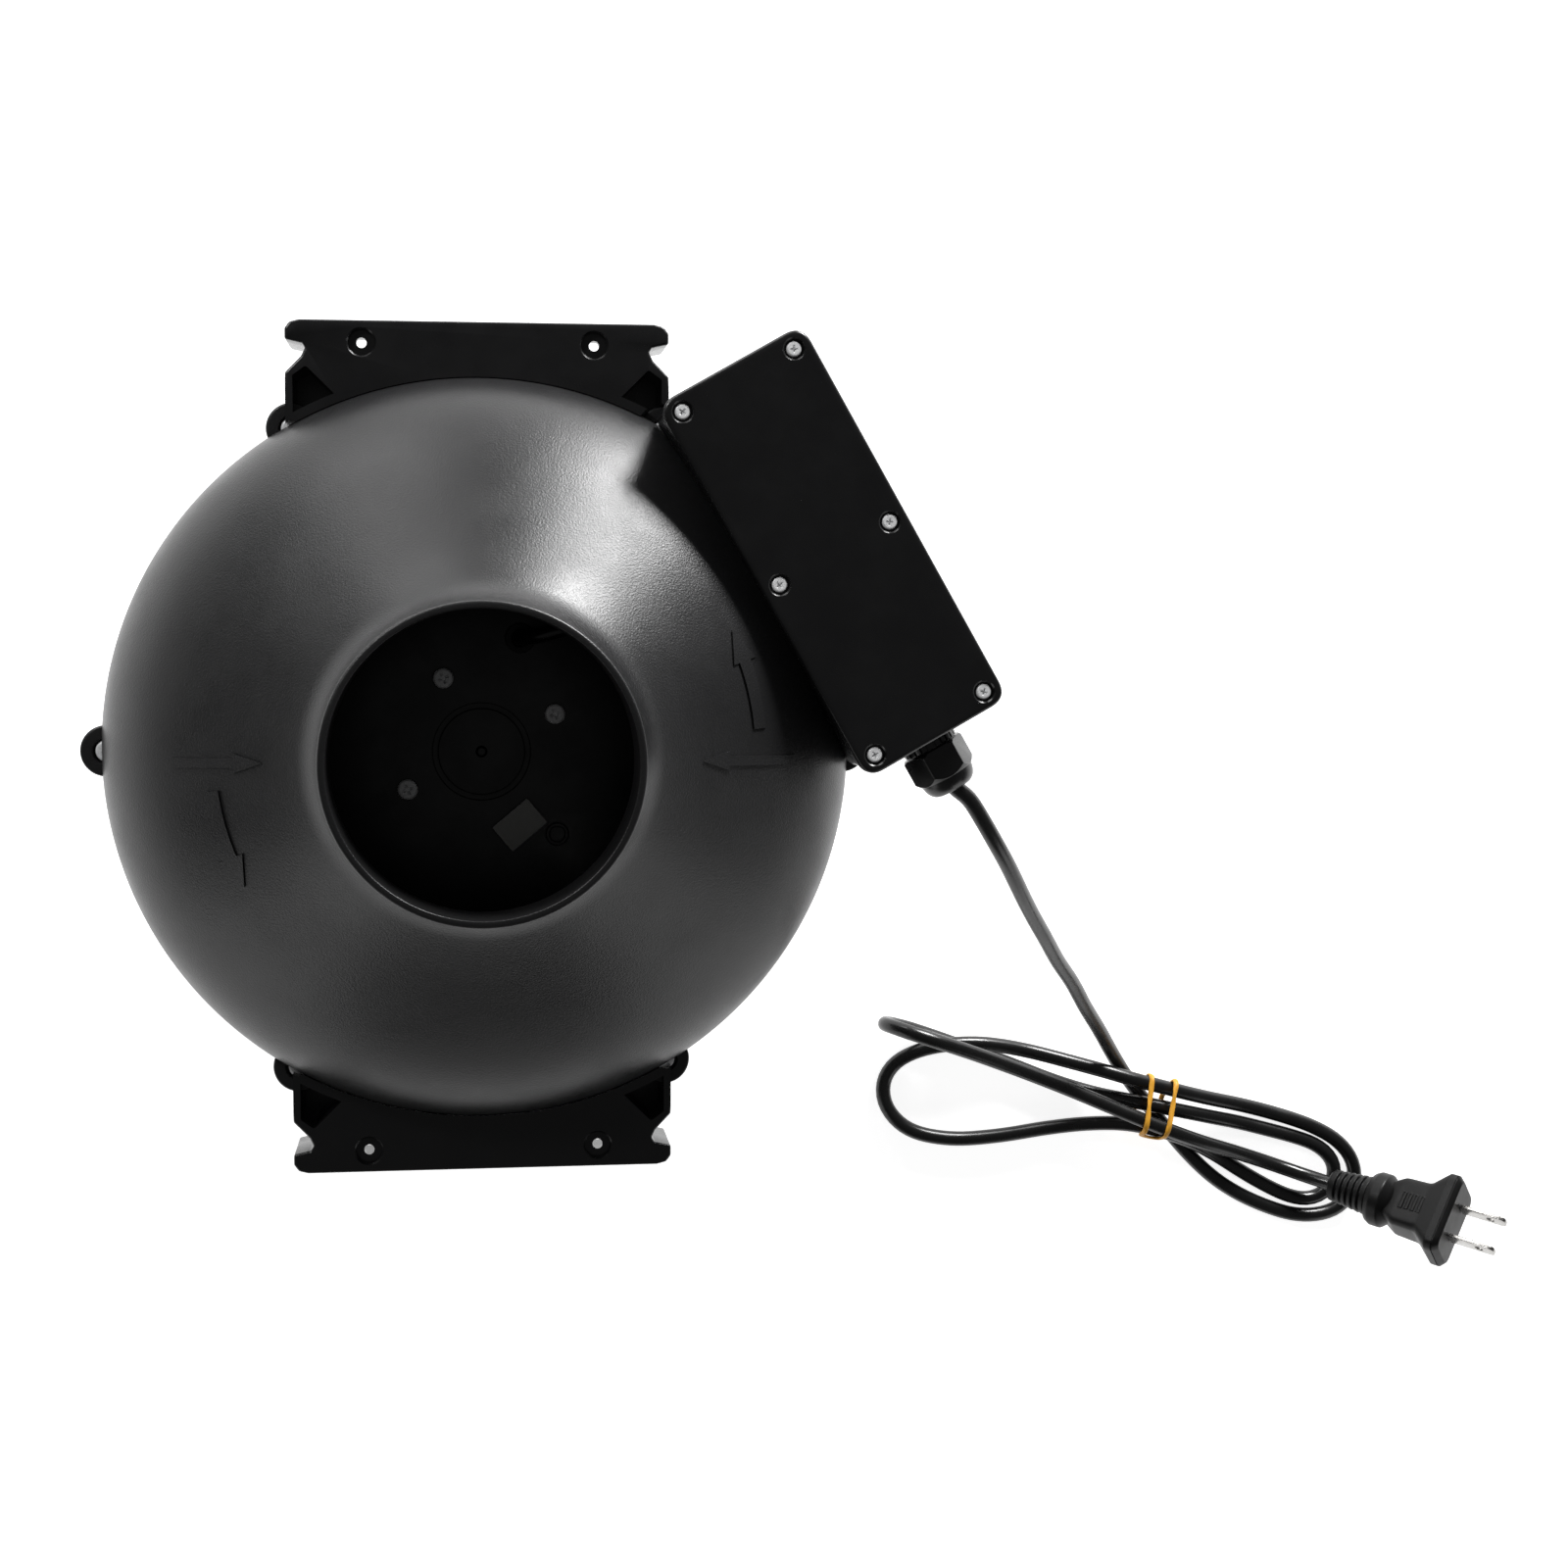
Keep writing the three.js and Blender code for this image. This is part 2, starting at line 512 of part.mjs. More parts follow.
// External rotor: cup, shaft, collar and the impeller round the cup.
function addRotor() {
  const hole = SHAFT_R + GAP;
  const web = [[hole, 79], [ROTOR_R - 5, 79], [ROTOR_R, 83], [ROTOR_R, 120], [ROTOR_R - 4, 120]];
  const cup = turned([...web, [ROTOR_R - 4, 84], [hole, 84], [hole, 79]], 24);
  place('rotor_cup', cup, STEEL);
  const shaft = turned([[0, 80], [SHAFT_R, 80], [SHAFT_R, 122], [SHAFT_R - 0.6, 123], [0, 123]], 20);
  place('motor_shaft', shaft, STEEL);
  place('shaft_collar', ring(hole, 8.5, 112.2, 115, 16), STEEL);

  const eye = [[50.5, 66], [47, 56], [49, 56], [52, 64]];
  const shroud = turned([...eye, [64, 70], [IMPELLER_R, 78], [IMPELLER_R, 80], [64, 72], eye[0]], 28);
  const tyre = ring(ROTOR_R + GAP, ROTOR_R + 3, 92, 108.4, 28);
  const disc = ring(ROTOR_R + 2, IMPELLER_R, 106, 108.4, 28);
  const [root, tip] = [ROTOR_R + 4, IMPELLER_R - 0.5];
  const span = turned([[root, 63], [51.3, 65], [64, 71], [tip, 79], [tip, 107], [root, 107], [root, 63]], 28);
  const vanes = blades({
    count: BLADE_COUNT,
    rootR: 54,
    tipR: IMPELLER_R - 1,
    sweep: -48,
    thickness: 2.2,
    z0: 60,
    z1: 107,
  });
  place('impeller', join(shroud, tyre, disc, ...vanes.map((vane) => vane.intersect(span))), IMPELLER_BLACK);
}

// ---------------------------------------------------------------- cord and plug
// Where the cord leaves the gland, and its fall to the table.
const CORD_FALL = [
  [166.6, -25.2, 140.4],
  [173.2, -36, 136],
  [181, -47, 126.5],
  [190, -58.5, 110],
  [199.5, -70, 89],
  [208.5, -81, 67],
  [217.5, -92, 46],
  [227.5, -103.5, 27],
  [238, -116, 13],
  [247.5, -127.2, 6.5],
  [255.5, -137, 5.2],
];

// The coiled cord as one body; its far end is low so that the plug's end can rest over it.
const HANK = { bottom: 2.2, top: 13.4, lowEndX: 331, lowEndTop: 6.3 };
const HANK_OUTLINE = [
  [153.5, -112], [162, -106.5], [190, -115], [236, -129.5], [262, -137.2], [279, -142],
  [306, -147], [334, -154], [352, -165], [358.5, -179], [352, -193], [336, -202.5],
  [316, -195], [284, -168], [266, -160.2], [241, -157.6], [205, -165.5], [187, -166],
  [168, -160], [156, -149], [154, -136], [158, -124],
];
const BAND = { x: 270, y: -150.2, turn: -16, length: 10, halfWidth: 11.3, thickness: 1.6 };
const PLUG = { x: 339, y: -182, z: 15.2, roll: -28, tilt: 42, yaw: -13 };
const TAIL_START = [HANK.lowEndX - 4, -178.4, 8.6];

const plugGroup = new THREE.Group();
plugGroup.position.set(PLUG.x, PLUG.y, PLUG.z);
plugGroup.rotation.set(rad(PLUG.roll), rad(-PLUG.tilt), rad(PLUG.yaw), 'ZYX');
fan.add(plugGroup);

function addCord(glandMouth) {
  const onBox = (x) => {
    const at = new THREE.Vector3(x, 0, GLAND_Z).applyEuler(boxGroup.rotation);
    return at.add(boxGroup.position).toArray();
  };
  const route = [onBox(BOX.length / 2 - 14), onBox(glandMouth + GAP), ...CORD_FALL];
  place('power_cord', tube(route, CORD_R, 8, 26), CORD_BLACK);

  const { bottom, top, lowEndX, lowEndTop } = HANK;
  const along = new THREE.CatmullRomCurve3(HANK_OUTLINE.map(([x, y]) => new THREE.Vector3(x, y, 0)), true);
  const outline = along.getPoints(44).slice(1).map((p) => [p.x, p.y]);
  const lying = extruded(polygon(outline), bottom, top);
  const standing = extruded(roundedRectangle(44, 22, 9), bottom, 35).rotate([0, 0, -22]);
  const overLowEnd = block(lowEndX, 365, -210, -145, lowEndTop, 40);
  const groove = tube([...route.slice(0, -1), [255.8, -137.4, 5.2]], CORD_R + GAP, 8, 26);
  const hank = cut(join(lying, standing.translate([174, -116.5, 0])), overLowEnd, groove);
  place('cord_hank', hank, CORD_BLACK);

  const [low, high, half] = [bottom - GAP, top + GAP, BAND.length / 2];
  const [inner, outer] = [BAND.halfWidth, BAND.halfWidth + BAND.thickness];
  const sleeve = block(-half, half, -outer, outer, low - BAND.thickness, high + BAND.thickness);
  const band = sleeve.subtract(block(-half - 1, half + 1, -inner, inner, low, high));
  place('cord_band', band.rotate([0, 0, BAND.turn]).translate([BAND.x, BAND.y, 0]), BAND_ORANGE);

  const plugAxis = new THREE.Vector3(1, 0, 0).applyEuler(plugGroup.rotation);
  const behind = (d) => plugGroup.position.clone().addScaledVector(plugAxis, -d).toArray();
  const tail = tube([TAIL_START, behind(5), behind(GAP)], CORD_R, 8, 5);
  place('cord_tail', tail.intersect(block(lowEndX + GAP, 400, -300, 0, lowEndTop + GAP, 60)), CORD_BLACK);
}

// Two-blade plug along its own X, blades spaced along its Y.
const PLUG_FACE_X = 52;
const PLUG_FROM_ABOVE = [[25, 7.5], [30, 10.5], [40, 10.8], [47, 16.5], [50, 16.5], [PLUG_FACE_X, 14.5]];
const PLUG_FROM_BESIDE = [[25, 6.5], [31, 8], [41, 8.5], [46, 11], [50, 11], [PLUG_FACE_X, 9.5]];
const BLADE = { spacing: 12.7, length: 18.2, width: 6.3, thickness: 1.5, holeR: 1.6, holeAt: 12 };

function addPlug() {
  const alongX = (body) => body.rotate([0, 90, 0]);
  const relief = turned([[0, 0], [6.2, 0], [8, 17], [0, 17]], 16);
  place('plug_strain_relief', alongX(relief), RUBBER_BLACK, plugGroup);

  const collarStart = [[0, 17 + GAP], [9.6, 17 + GAP]];
  const collar = turned([...collarStart, [10.8, 19.5], [10.8, 23.5], [8.5, 26.5], [0, 26.5]], 20);
  const bothSides = (half) => polygon([...half, ...half.map(([x, y]) => [x, -y]).reverse()]);
  const fromAbove = extruded(bothSides(PLUG_FROM_ABOVE), -15, 15);
  const fromBeside = extruded(bothSides(PLUG_FROM_BESIDE), -20, 20).rotate([90, 0, 0]);
  place('plug_body', join(alongX(collar), fromAbove.intersect(fromBeside)), RUBBER_BLACK, plugGroup);

  const { spacing, length, width, thickness, holeR, holeAt } = BLADE;
  const sides = [[0, width / 2], [length - 3, width / 2], [length - 0.9, width / 4], [length, 0.8]];
  const flat = extruded(bothSides(sides), -thickness / 2, thickness / 2);
  const blade = flat.subtract(rodAt([holeAt, 0], holeR, -3, 3, 10)).rotate([90, 0, 0]);
  [-1, 1].forEach((side, i) => {
    const body = blade.translate([PLUG_FACE_X + GAP, (side * spacing) / 2, 0]);
    place(`plug_blade_${i + 1}`, body, NICKEL, plugGroup);
  });
}

fan.updateMatrixWorld(true);
addOutletCasing();
addInletCasing();
addCasingScrews();
addBrackets();
addTerminalBox();
addElectrics();
const glandMouth = addGland();
addMotorCarrier();
addMotor();
addRotor();
addCord(glandMouth);
addPlug();

export default fan;
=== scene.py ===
"""Inline duct fan: the looks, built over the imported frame.

Pieces are made in millimetres, with the fan axis as Z and the inlet's rim at z = 0. piece() moves
them to the row frame, in metres, whose origin lies 20.5 mm from the fan axis.
"""

from math import cos, pi, radians, sin, tan

import bmesh
import bpy
from mathutils import Euler, Matrix, Vector
from mathutils.geometry import convex_hull_2d


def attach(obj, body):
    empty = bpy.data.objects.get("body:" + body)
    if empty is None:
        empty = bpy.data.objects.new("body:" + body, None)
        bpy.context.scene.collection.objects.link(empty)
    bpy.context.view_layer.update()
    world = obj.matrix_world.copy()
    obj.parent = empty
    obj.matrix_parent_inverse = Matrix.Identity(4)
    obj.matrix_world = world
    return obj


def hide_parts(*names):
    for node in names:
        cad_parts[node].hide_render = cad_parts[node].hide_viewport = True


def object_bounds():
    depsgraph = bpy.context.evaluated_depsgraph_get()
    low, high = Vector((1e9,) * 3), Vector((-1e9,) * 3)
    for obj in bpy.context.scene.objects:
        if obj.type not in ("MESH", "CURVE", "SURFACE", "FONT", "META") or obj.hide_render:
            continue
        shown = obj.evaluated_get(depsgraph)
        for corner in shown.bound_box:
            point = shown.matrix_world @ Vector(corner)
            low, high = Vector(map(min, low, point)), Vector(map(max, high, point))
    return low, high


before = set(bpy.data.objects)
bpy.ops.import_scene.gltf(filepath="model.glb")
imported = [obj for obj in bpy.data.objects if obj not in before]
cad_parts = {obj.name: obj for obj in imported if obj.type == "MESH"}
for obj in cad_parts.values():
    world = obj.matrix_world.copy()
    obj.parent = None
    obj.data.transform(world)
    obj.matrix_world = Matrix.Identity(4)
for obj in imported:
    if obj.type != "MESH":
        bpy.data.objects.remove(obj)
cad_low, cad_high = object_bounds()

# ---------------------------------------------------------------- dimensions, millimetres
AXIS_X = -20.5
TO_ROW = Matrix.Translation((AXIS_X * 0.001, 0, 0)) @ Matrix.Scale(0.001, 4)
GAP = 0.3  # between neighbouring pieces
SEAM = 115
BOWL_R = 125.5
WALL = 3
SPIGOT_R = 48.7
THROAT_R = 46.2
RIM = 115  # height of each collar's rim from the seam
ROUND = 256  # divisions round the bowls
SHARP_ANGLE = 32  # edges sharper than this aren't shaded smooth, degrees

LUG_R = 8.6
LUG_CIRCLE_R = 123.6
LUG_ANGLES = (0, 60, 120, 180, 240, 300)
LUG_RECESS_R = LUG_R + 0.6
LUG_SCREW_HOLE_R = 2.3

BRACKET_HALF_WIDTH = 63.5
BRACKET_FACE_Y = 142.5
BRACKET_BOTTOM = 97
BRACKET_TOP = 127
BRACKET_HOLE_X = 38.5
BRACKET_HOLE_R = 1.7
BRACKET_SADDLE_R = 127.4

BOX_AZIMUTH = 29.6
BOX_R = 131.5
BOX_LENGTH = 139
BOX_WIDTH = 54
BOX_CORNER = 6.5
BOX_BOTTOM = 127.5
BOX_RIM = 158.6
BOX_TOP = 165.5
GASKET_LOW = BOX_RIM + GAP
GASKET_THICKNESS = 1.2
COVER_LOW = GASKET_LOW + GASKET_THICKNESS + GAP
COVER_SCREWS = [(x, y) for x in (-63.7, 0, 63.7) for y in (-20.8, 20.8)]
BOSS_TURNS = (-13, 13)  # the two bosses under the box, in degrees from its azimuth
BOSS_Z = 24  # their height above the seam
GLAND_Z = 141

HUB_TOP = 141
HUB_R = 60
MOTOR_SCREW_R = 27.2
MOTOR_SCREW_ANGLES = (27, 117, 207, 297)
VANE_COUNT = 9
ROTOR_R = 46
IMPELLER_R = 92
BLADE_COUNT = 7

CORD_R = 2.9
BAND_MIDDLE = (267, -149.8, 0)
BAND_TURN = -13
BAND_HALF_GAP = 4.5
PLUG_AT = (339, -182, 15.2)
PLUG_YAW, PLUG_TILT, PLUG_ROLL = -13, -42, -28
PLUG_FACE_X = 52
PIN_SPACING = 12.7
PIN_LENGTH = 18.2


def polar(r, degrees):
    return (r * cos(radians(degrees)), r * sin(radians(degrees)))


def smooth_path(points, spacing):
    """Evenly spaced points on a smooth curve through points."""
    pts = [Vector(p) for p in points]
    ends = [2 * pts[0] - pts[1], *pts, 2 * pts[-1] - pts[-2]]
    dense = []
    for a, b, c, d in zip(ends, ends[1:], ends[2:], ends[3:]):
        steps = max(4, int((c - b).length / 0.5))
        for i in range(steps):
            t = i / steps
            square, cube = 2 * a - 5 * b + 4 * c - d, 3 * b - a - 3 * c + d
            dense.append(0.5 * (2 * b + (c - a) * t + square * t**2 + cube * t**3))
    dense.append(pts[-1])
    out = [dense[0]]
    travelled = 0
    for a, b in zip(dense, dense[1:]):
        travelled += (b - a).length
        if travelled >= spacing:
            out.append(b)
            travelled = 0
    if (out[-1] - dense[-1]).length > 0.3 * spacing:
        out.append(dense[-1])
    for _ in range(2):
        middle = [(a + 2 * b + c) / 4 for a, b, c in zip(out, out[1:], out[2:])]
        out = [out[0], *middle, out[-1]]
    return out


# ---------------------------------------------------------------- camera
def add_camera():
    """Nearly straight above the fan, 0.97 m over the floor."""
    camera = bpy.data.objects.new("camera", bpy.data.cameras.new("camera"))
    camera.data.lens = 56.9
    camera.data.sensor_width = 36
    camera.data.clip_start = 0.01
    camera.location = TO_ROW @ Vector((-5.0, 37.8, 965))
    tilt = Matrix.Rotation(radians(-7.312), 4, "Y") @ Matrix.Rotation(radians(-3.396), 4, "X")
    camera.rotation_euler = tilt.to_euler()
    bpy.context.scene.collection.objects.link(camera)
    bpy.context.scene.camera = camera


add_camera()


# ---------------------------------------------------------------- materials
def new_material(name):
    material = bpy.data.materials.new(name)
    material.use_nodes = True
    nodes = material.node_tree.nodes
    shader = next(n for n in nodes if n.type == "BSDF_PRINCIPLED")
    return material, nodes, material.node_tree.links, shader


def noise(nodes, links, scale, detail=3.0, roughness=0.5, stretch=(1, 1, 1)):
    """A noise texture in the row frame; scale is in cycles per metre."""
    where = nodes.new("ShaderNodeTexCoord")
    mapping = nodes.new("ShaderNodeMapping")
    mapping.inputs["Scale"].default_value = stretch
    texture = nodes.new("ShaderNodeTexNoise")
    texture.inputs["Scale"].default_value = scale
    texture.inputs["Detail"].default_value = detail
    texture.inputs["Roughness"].default_value = roughness
    links.new(where.outputs["Object"], mapping.inputs["Vector"])
    links.new(mapping.outputs["Vector"], texture.inputs["Vector"])
    return texture.outputs["Fac"]


def ramp(nodes, links, value, low, high):
    """Maps the middle third of a noise's values to the range low to high."""
    scaled = nodes.new("ShaderNodeMapRange")
    scaled.inputs["From Min"].default_value = 0.35
    scaled.inputs["From Max"].default_value = 0.65
    scaled.inputs["To Min"].default_value = low
    scaled.inputs["To Max"].default_value = high
    links.new(value, scaled.inputs["Value"])
    return scaled.outputs["Result"]


def bump(nodes, links, shader, height, distance, strength=1.0, before=None):
    node = nodes.new("ShaderNodeBump")
    node.inputs["Strength"].default_value = strength
    node.inputs["Distance"].default_value = distance
    links.new(height, node.inputs["Height"])
    if before is not None:
        links.new(before, node.inputs["Normal"])
    links.new(node.outputs["Normal"], shader.inputs["Normal"])
    return node.outputs["Normal"]


def tinted(nodes, links, value, dark, light):
    mix = nodes.new("ShaderNodeMix")
    mix.data_type = "RGBA"
    mix.inputs["A"].default_value = (*dark, 1)
    mix.inputs["B"].default_value = (*light, 1)
    links.new(value, mix.inputs["Factor"])
    return mix.outputs["Result"]


def plastic(name, dark, light, roughness, grain, depth, spread=0.06, specular=0.5):
    """Moulded plastic: an eroded-mould grain of that size in millimetres, and faint handling marks."""
    material, nodes, links, shader = new_material(name)
    shader.inputs["Specular IOR Level"].default_value = specular
    clouds = noise(nodes, links, 35, 4)
    links.new(tinted(nodes, links, clouds, dark, light), shader.inputs["Base Color"])
    wear = noise(nodes, links, 60, 5, 0.6)
    links.new(ramp(nodes, links, wear, roughness - spread, roughness + spread), shader.inputs["Roughness"])
    waves = bump(nodes, links, shader, noise(nodes, links, 20, 1), 0.0002, 0.1)
    fine = noise(nodes, links, 1000 / grain, 2, 0.55)
    bump(nodes, links, shader, fine, depth * 0.001, 1.0, before=waves)
    return material


def metal(name, dark, light, roughness, scratch=(1, 1, 1), grain=900, depth=0.01, metallic=1.0):
    """Plated, turned or cast metal: grain is in cycles per metre, stretched by scratch."""
    material, nodes, links, shader = new_material(name)
    shader.inputs["Metallic"].default_value = metallic
    clouds = noise(nodes, links, 180, 3)
    links.new(tinted(nodes, links, clouds, dark, light), shader.inputs["Base Color"])
    marks = noise(nodes, links, grain, 3, 0.6, scratch)
    links.new(ramp(nodes, links, marks, roughness - 0.07, roughness + 0.1), shader.inputs["Roughness"])
    bump(nodes, links, shader, marks, depth * 0.001)
    return material


CASING = plastic(
    "casing_plastic", (0.009, 0.009, 0.0095), (0.013, 0.013, 0.0135),
    roughness=0.35, grain=0.6, depth=0.1, spread=0.03, specular=0.42,
)
BOX = plastic(
    "box_plastic", (0.004, 0.004, 0.0042), (0.0055, 0.0055, 0.006),
    roughness=0.27, grain=0.5, depth=0.01, spread=0.04,
)
INSIDE = plastic(
    "carrier_plastic", (0.004, 0.004, 0.0042), (0.006, 0.006, 0.0062), roughness=0.36, grain=0.9, depth=0.02
)
WHEEL = plastic(
    "impeller_plastic", (0.018, 0.018, 0.019), (0.026, 0.026, 0.027), roughness=0.5, grain=0.6, depth=0.03
)
RUBBER = plastic(
    "black_rubber", (0.010, 0.010, 0.010), (0.018, 0.018, 0.018), roughness=0.62, grain=0.4, depth=0.03
)
SHEATH = plastic(
    "cord_sheath", (0.005, 0.005, 0.005), (0.008, 0.008, 0.008),
    roughness=0.28, grain=1.6, depth=0.02, spread=0.05,
)
PLUG = plastic(
    "plug_pvc", (0.003, 0.003, 0.003), (0.005, 0.005, 0.005),
    roughness=0.4, grain=0.6, depth=0.02, spread=0.05, specular=0.2,
)
IVORY = plastic(
    "ivory_plastic", (0.66, 0.62, 0.52), (0.74, 0.71, 0.62), roughness=0.45, grain=0.5, depth=0.01
)
WINDING = plastic(
    "stator_winding", (0.20, 0.07, 0.03), (0.36, 0.15, 0.06), roughness=0.35, grain=0.8, depth=0.12
)
BAND = plastic("elastic_band", (0.62, 0.27, 0.012), (0.78, 0.40, 0.03), roughness=0.5, grain=0.35, depth=0.02)
PAPER = plastic("paper_seal", (0.40, 0.40, 0.385), (0.56, 0.56, 0.54), roughness=0.55, grain=0.6, depth=0.03)
# Screw-head zinc is near-white and mostly diffuse (metallic 0.1). The heads' brightness is a painted
# reflection of the lamps, not plated metal reflecting them.
ZINC_PAINTED_REFLECTION = metal("zinc_painted_reflection", (0.84, 0.85, 0.86), (0.96, 0.96, 0.96), roughness=0.3, metallic=0.1)
NICKEL = metal(
    "nickel_plate", (0.38, 0.37, 0.355), (0.46, 0.45, 0.435),
    roughness=0.24, scratch=(1, 1, 6), grain=500, depth=0.001,
)
STEEL = metal("steel", (0.38, 0.39, 0.40), (0.52, 0.53, 0.54), roughness=0.32, scratch=(1, 1, 8))
ALUMINIUM = metal(
    "cast_aluminium", (0.50, 0.51, 0.52), (0.64, 0.65, 0.66), roughness=0.42, grain=1600, depth=0.03
)

# Looks for CAD nodes that no piece replaces; the two hidden box screws keep the frame's own.
NODE_LOOKS = {
    "stator": WINDING,
    "motor_flange": ALUMINIUM,
    "run_capacitor": ALUMINIUM,
    "bearing_lower": STEEL,
    "bearing_upper": STEEL,
    "motor_shaft": STEEL,
    "shaft_collar": STEEL,
    "terminal_block": IVORY,
    "gland_seal": RUBBER,
    "gland_locknut": BOX,
}
for node, look in NODE_LOOKS.items():
    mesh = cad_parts[node].data
    mesh.materials.clear()
    mesh.materials.append(look)


# ---------------------------------------------------------------- mesh helpers
def rounded(corners, closed=True, steps=5):
    """Corners are (x, y) or (x, y, radius); those with a radius become curves."""
    out = []
    for i, corner in enumerate(corners):
        p = Vector(corner[:2])
        radius = corner[2] if len(corner) > 2 else 0
        if radius == 0 or (not closed and i in (0, len(corners) - 1)):
            out.append(tuple(p))
            continue
        a = Vector(corners[i - 1][:2])
        b = Vector(corners[(i + 1) % len(corners)][:2])
        u, v = (a - p).normalized(), (b - p).normalized()
        reach = min(radius / tan(u.angle(v) / 2), 0.48 * (a - p).length, 0.48 * (b - p).length)
        start, end = p + u * reach, p + v * reach
        for k in range(steps + 1):
            t = k / steps
            out.append(tuple((1 - t) ** 2 * start + 2 * t * (1 - t) * p + t * t * end))
    return out


def skin(rings, loop=False):
    """A closed mesh through rings of points, capped at both ends or joined in a loop."""
    bm = bmesh.new()
    made = [[bm.verts.new(p) for p in ring] for ring in rings]
    pairs = list(zip(made, made[1:]))
    if loop:
        pairs.append((made[-1], made[0]))
    for a, b in pairs:
        n = len(a)
        for i in range(n):
            j = (i + 1) % n
            bm.faces.new((a[i], a[j], b[j], b[i]))
    if not loop:
        bm.faces.new(list(reversed(made[0])))
        bm.faces.new(made[-1])
    return tidied(bm)


def tidied(bm):
    bmesh.ops.remove_doubles(bm, verts=bm.verts, dist=1e-5)
    bmesh.ops.recalc_face_normals(bm, faces=bm.faces)
    return bm


def lathe(profile, sides=96, loop=False):
    """Turns (radius, height) points round Z. A profile not closed on itself starts and ends on the axis."""
    bm = bmesh.new()
    columns = []
    for r, z in profile:
        if r < 1e-6:
            columns.append([bm.verts.new((0, 0, z))])
        else:
            columns.append([bm.verts.new((*polar(r, 360 * k / sides), z)) for k in range(sides)])
    pairs = list(zip(columns, columns[1:]))
    if loop:
        pairs.append((columns[-1], columns[0]))
    for a, b in pairs:
        for k in range(sides):
            n = (k + 1) % sides
            corners = [a[0]] if len(a) == 1 else [a[k], a[n]]
            corners += [b[0]] if len(b) == 1 else [b[n], b[k]]
            if len(corners) > 2:
                bm.faces.new(corners)
    return tidied(bm)


def rod(r, z0, z1, sides=48, fillet=0.0):
    return lathe(rounded([(0, z0), (r, z0, fillet), (r, z1, fillet), (0, z1)], False), sides)


def prism(outline, z0, z1):
    return skin([[(x, y, z0) for x, y in outline], [(x, y, z1) for x, y in outline]])


def block(x0, x1, y0, y1, z0, z1):
    return prism([(x0, y0), (x1, y0), (x1, y1), (x0, y1)], z0, z1)


def bevelled(bm, width, segments=3, angle=30, only=None):
    """Rounds the edges that are sharper than angle, or those of them that only() accepts."""
    edges = [e for e in bm.edges if len(e.link_faces) == 2 and e.calc_face_angle() > radians(angle)]
    if only is not None:
        edges = [e for e in edges if only(e)]
    bmesh.ops.bevel(
        bm, geom=edges, offset=width, segments=segments, affect="EDGES", profile=0.5, clamp_overlap=True
    )
    return bm


def near(z):
    """Tells whether an edge lies at that height."""
    return lambda e: all(abs(v.co.z - z) < 0.01 for v in e.verts)


def rise(edge):
    return abs(edge.verts[0].co.z - edge.verts[1].co.z)


Z_TO_X = Matrix.Rotation(pi / 2, 4, "Y")


def moved(bm, shift=(0, 0, 0), turn=None):
    """Turns a solid about the origin, and then shifts it."""
    matrix = Matrix.Translation(shift)
    if turn is not None:
        matrix = matrix @ turn
    bm.transform(matrix)
    return bm


def merged(*parts):
    """Several separate solids as one mesh."""
    bm = bmesh.new()
    for part in parts:
        mesh = bpy.data.meshes.new("part")
        part.to_mesh(mesh)
        part.free()
        bm.from_mesh(mesh)
        bpy.data.meshes.remove(mesh)
    return bm


def boolean(operation, target, *tools):
    """Cuts or joins closed solids, and uses them up."""
    made = target
    for tool in tools:
        holders = []
        for bm in (made, tool):
            mesh = bpy.data.meshes.new("solid")
            bm.to_mesh(mesh)
            bm.free()
            holder = bpy.data.objects.new("solid", mesh)
            bpy.context.scene.collection.objects.link(holder)
            holders.append(holder)
        modifier = holders[0].modifiers.new("cut", "BOOLEAN")
        modifier.operation = operation
        modifier.solver = "MANIFOLD"
        modifier.object = holders[1]
        bpy.context.view_layer.update()
        evaluated = holders[0].evaluated_get(bpy.context.evaluated_depsgraph_get())
        made = bmesh.new()
        made.from_mesh(evaluated.to_mesh())
        evaluated.to_mesh_clear()
        for holder in holders:
            mesh = holder.data
            bpy.data.objects.remove(holder)
            bpy.data.meshes.remove(mesh)
    return made


def cut(target, *tools):
    return boolean("DIFFERENCE", target, *tools)


def joined(target, *tools):
    return boolean("UNION", target, *tools)


def common(target, tool):
    return boolean("INTERSECT", target, tool)


def piece(name, bm, look, nodes=(), body="casing"):
    """Finishes a solid: moves it to the row frame, shades it and hands it to the frame."""
    bm.transform(TO_ROW)
    for face in bm.faces:
        face.smooth = True
    for edge in bm.edges:
        if len(edge.link_faces) == 2 and edge.calc_face_angle() > radians(SHARP_ANGLE):
            edge.smooth = False
    mesh = bpy.data.meshes.new(name)
    bm.to_mesh(mesh)
    bm.free()
    mesh.materials.append(look)
    obj = bpy.data.objects.new(name, mesh)
    bpy.context.scene.collection.objects.link(obj)
    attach(obj, body)
    if nodes:
        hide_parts(*nodes)
    return obj


# ---------------------------------------------------------------- power cord
BOX_TURN = Matrix.Rotation(radians(BOX_AZIMUTH - 90), 4, "Z")
BOX_PLACE = Matrix.Translation((*polar(BOX_R, BOX_AZIMUTH), 0)) @ BOX_TURN
GLAND_FACE = BOX_LENGTH / 2 - 1
GLAND_MOUTH = GLAND_FACE + 21.4
PLUG_PLACE = Matrix.Translation(PLUG_AT) @ Euler((0, 0, radians(PLUG_YAW))).to_matrix().to_4x4()
PLUG_PLACE = PLUG_PLACE @ Matrix.Rotation(radians(PLUG_TILT), 4, "Y")
PLUG_PLACE = PLUG_PLACE @ Matrix.Rotation(radians(PLUG_ROLL), 4, "X")

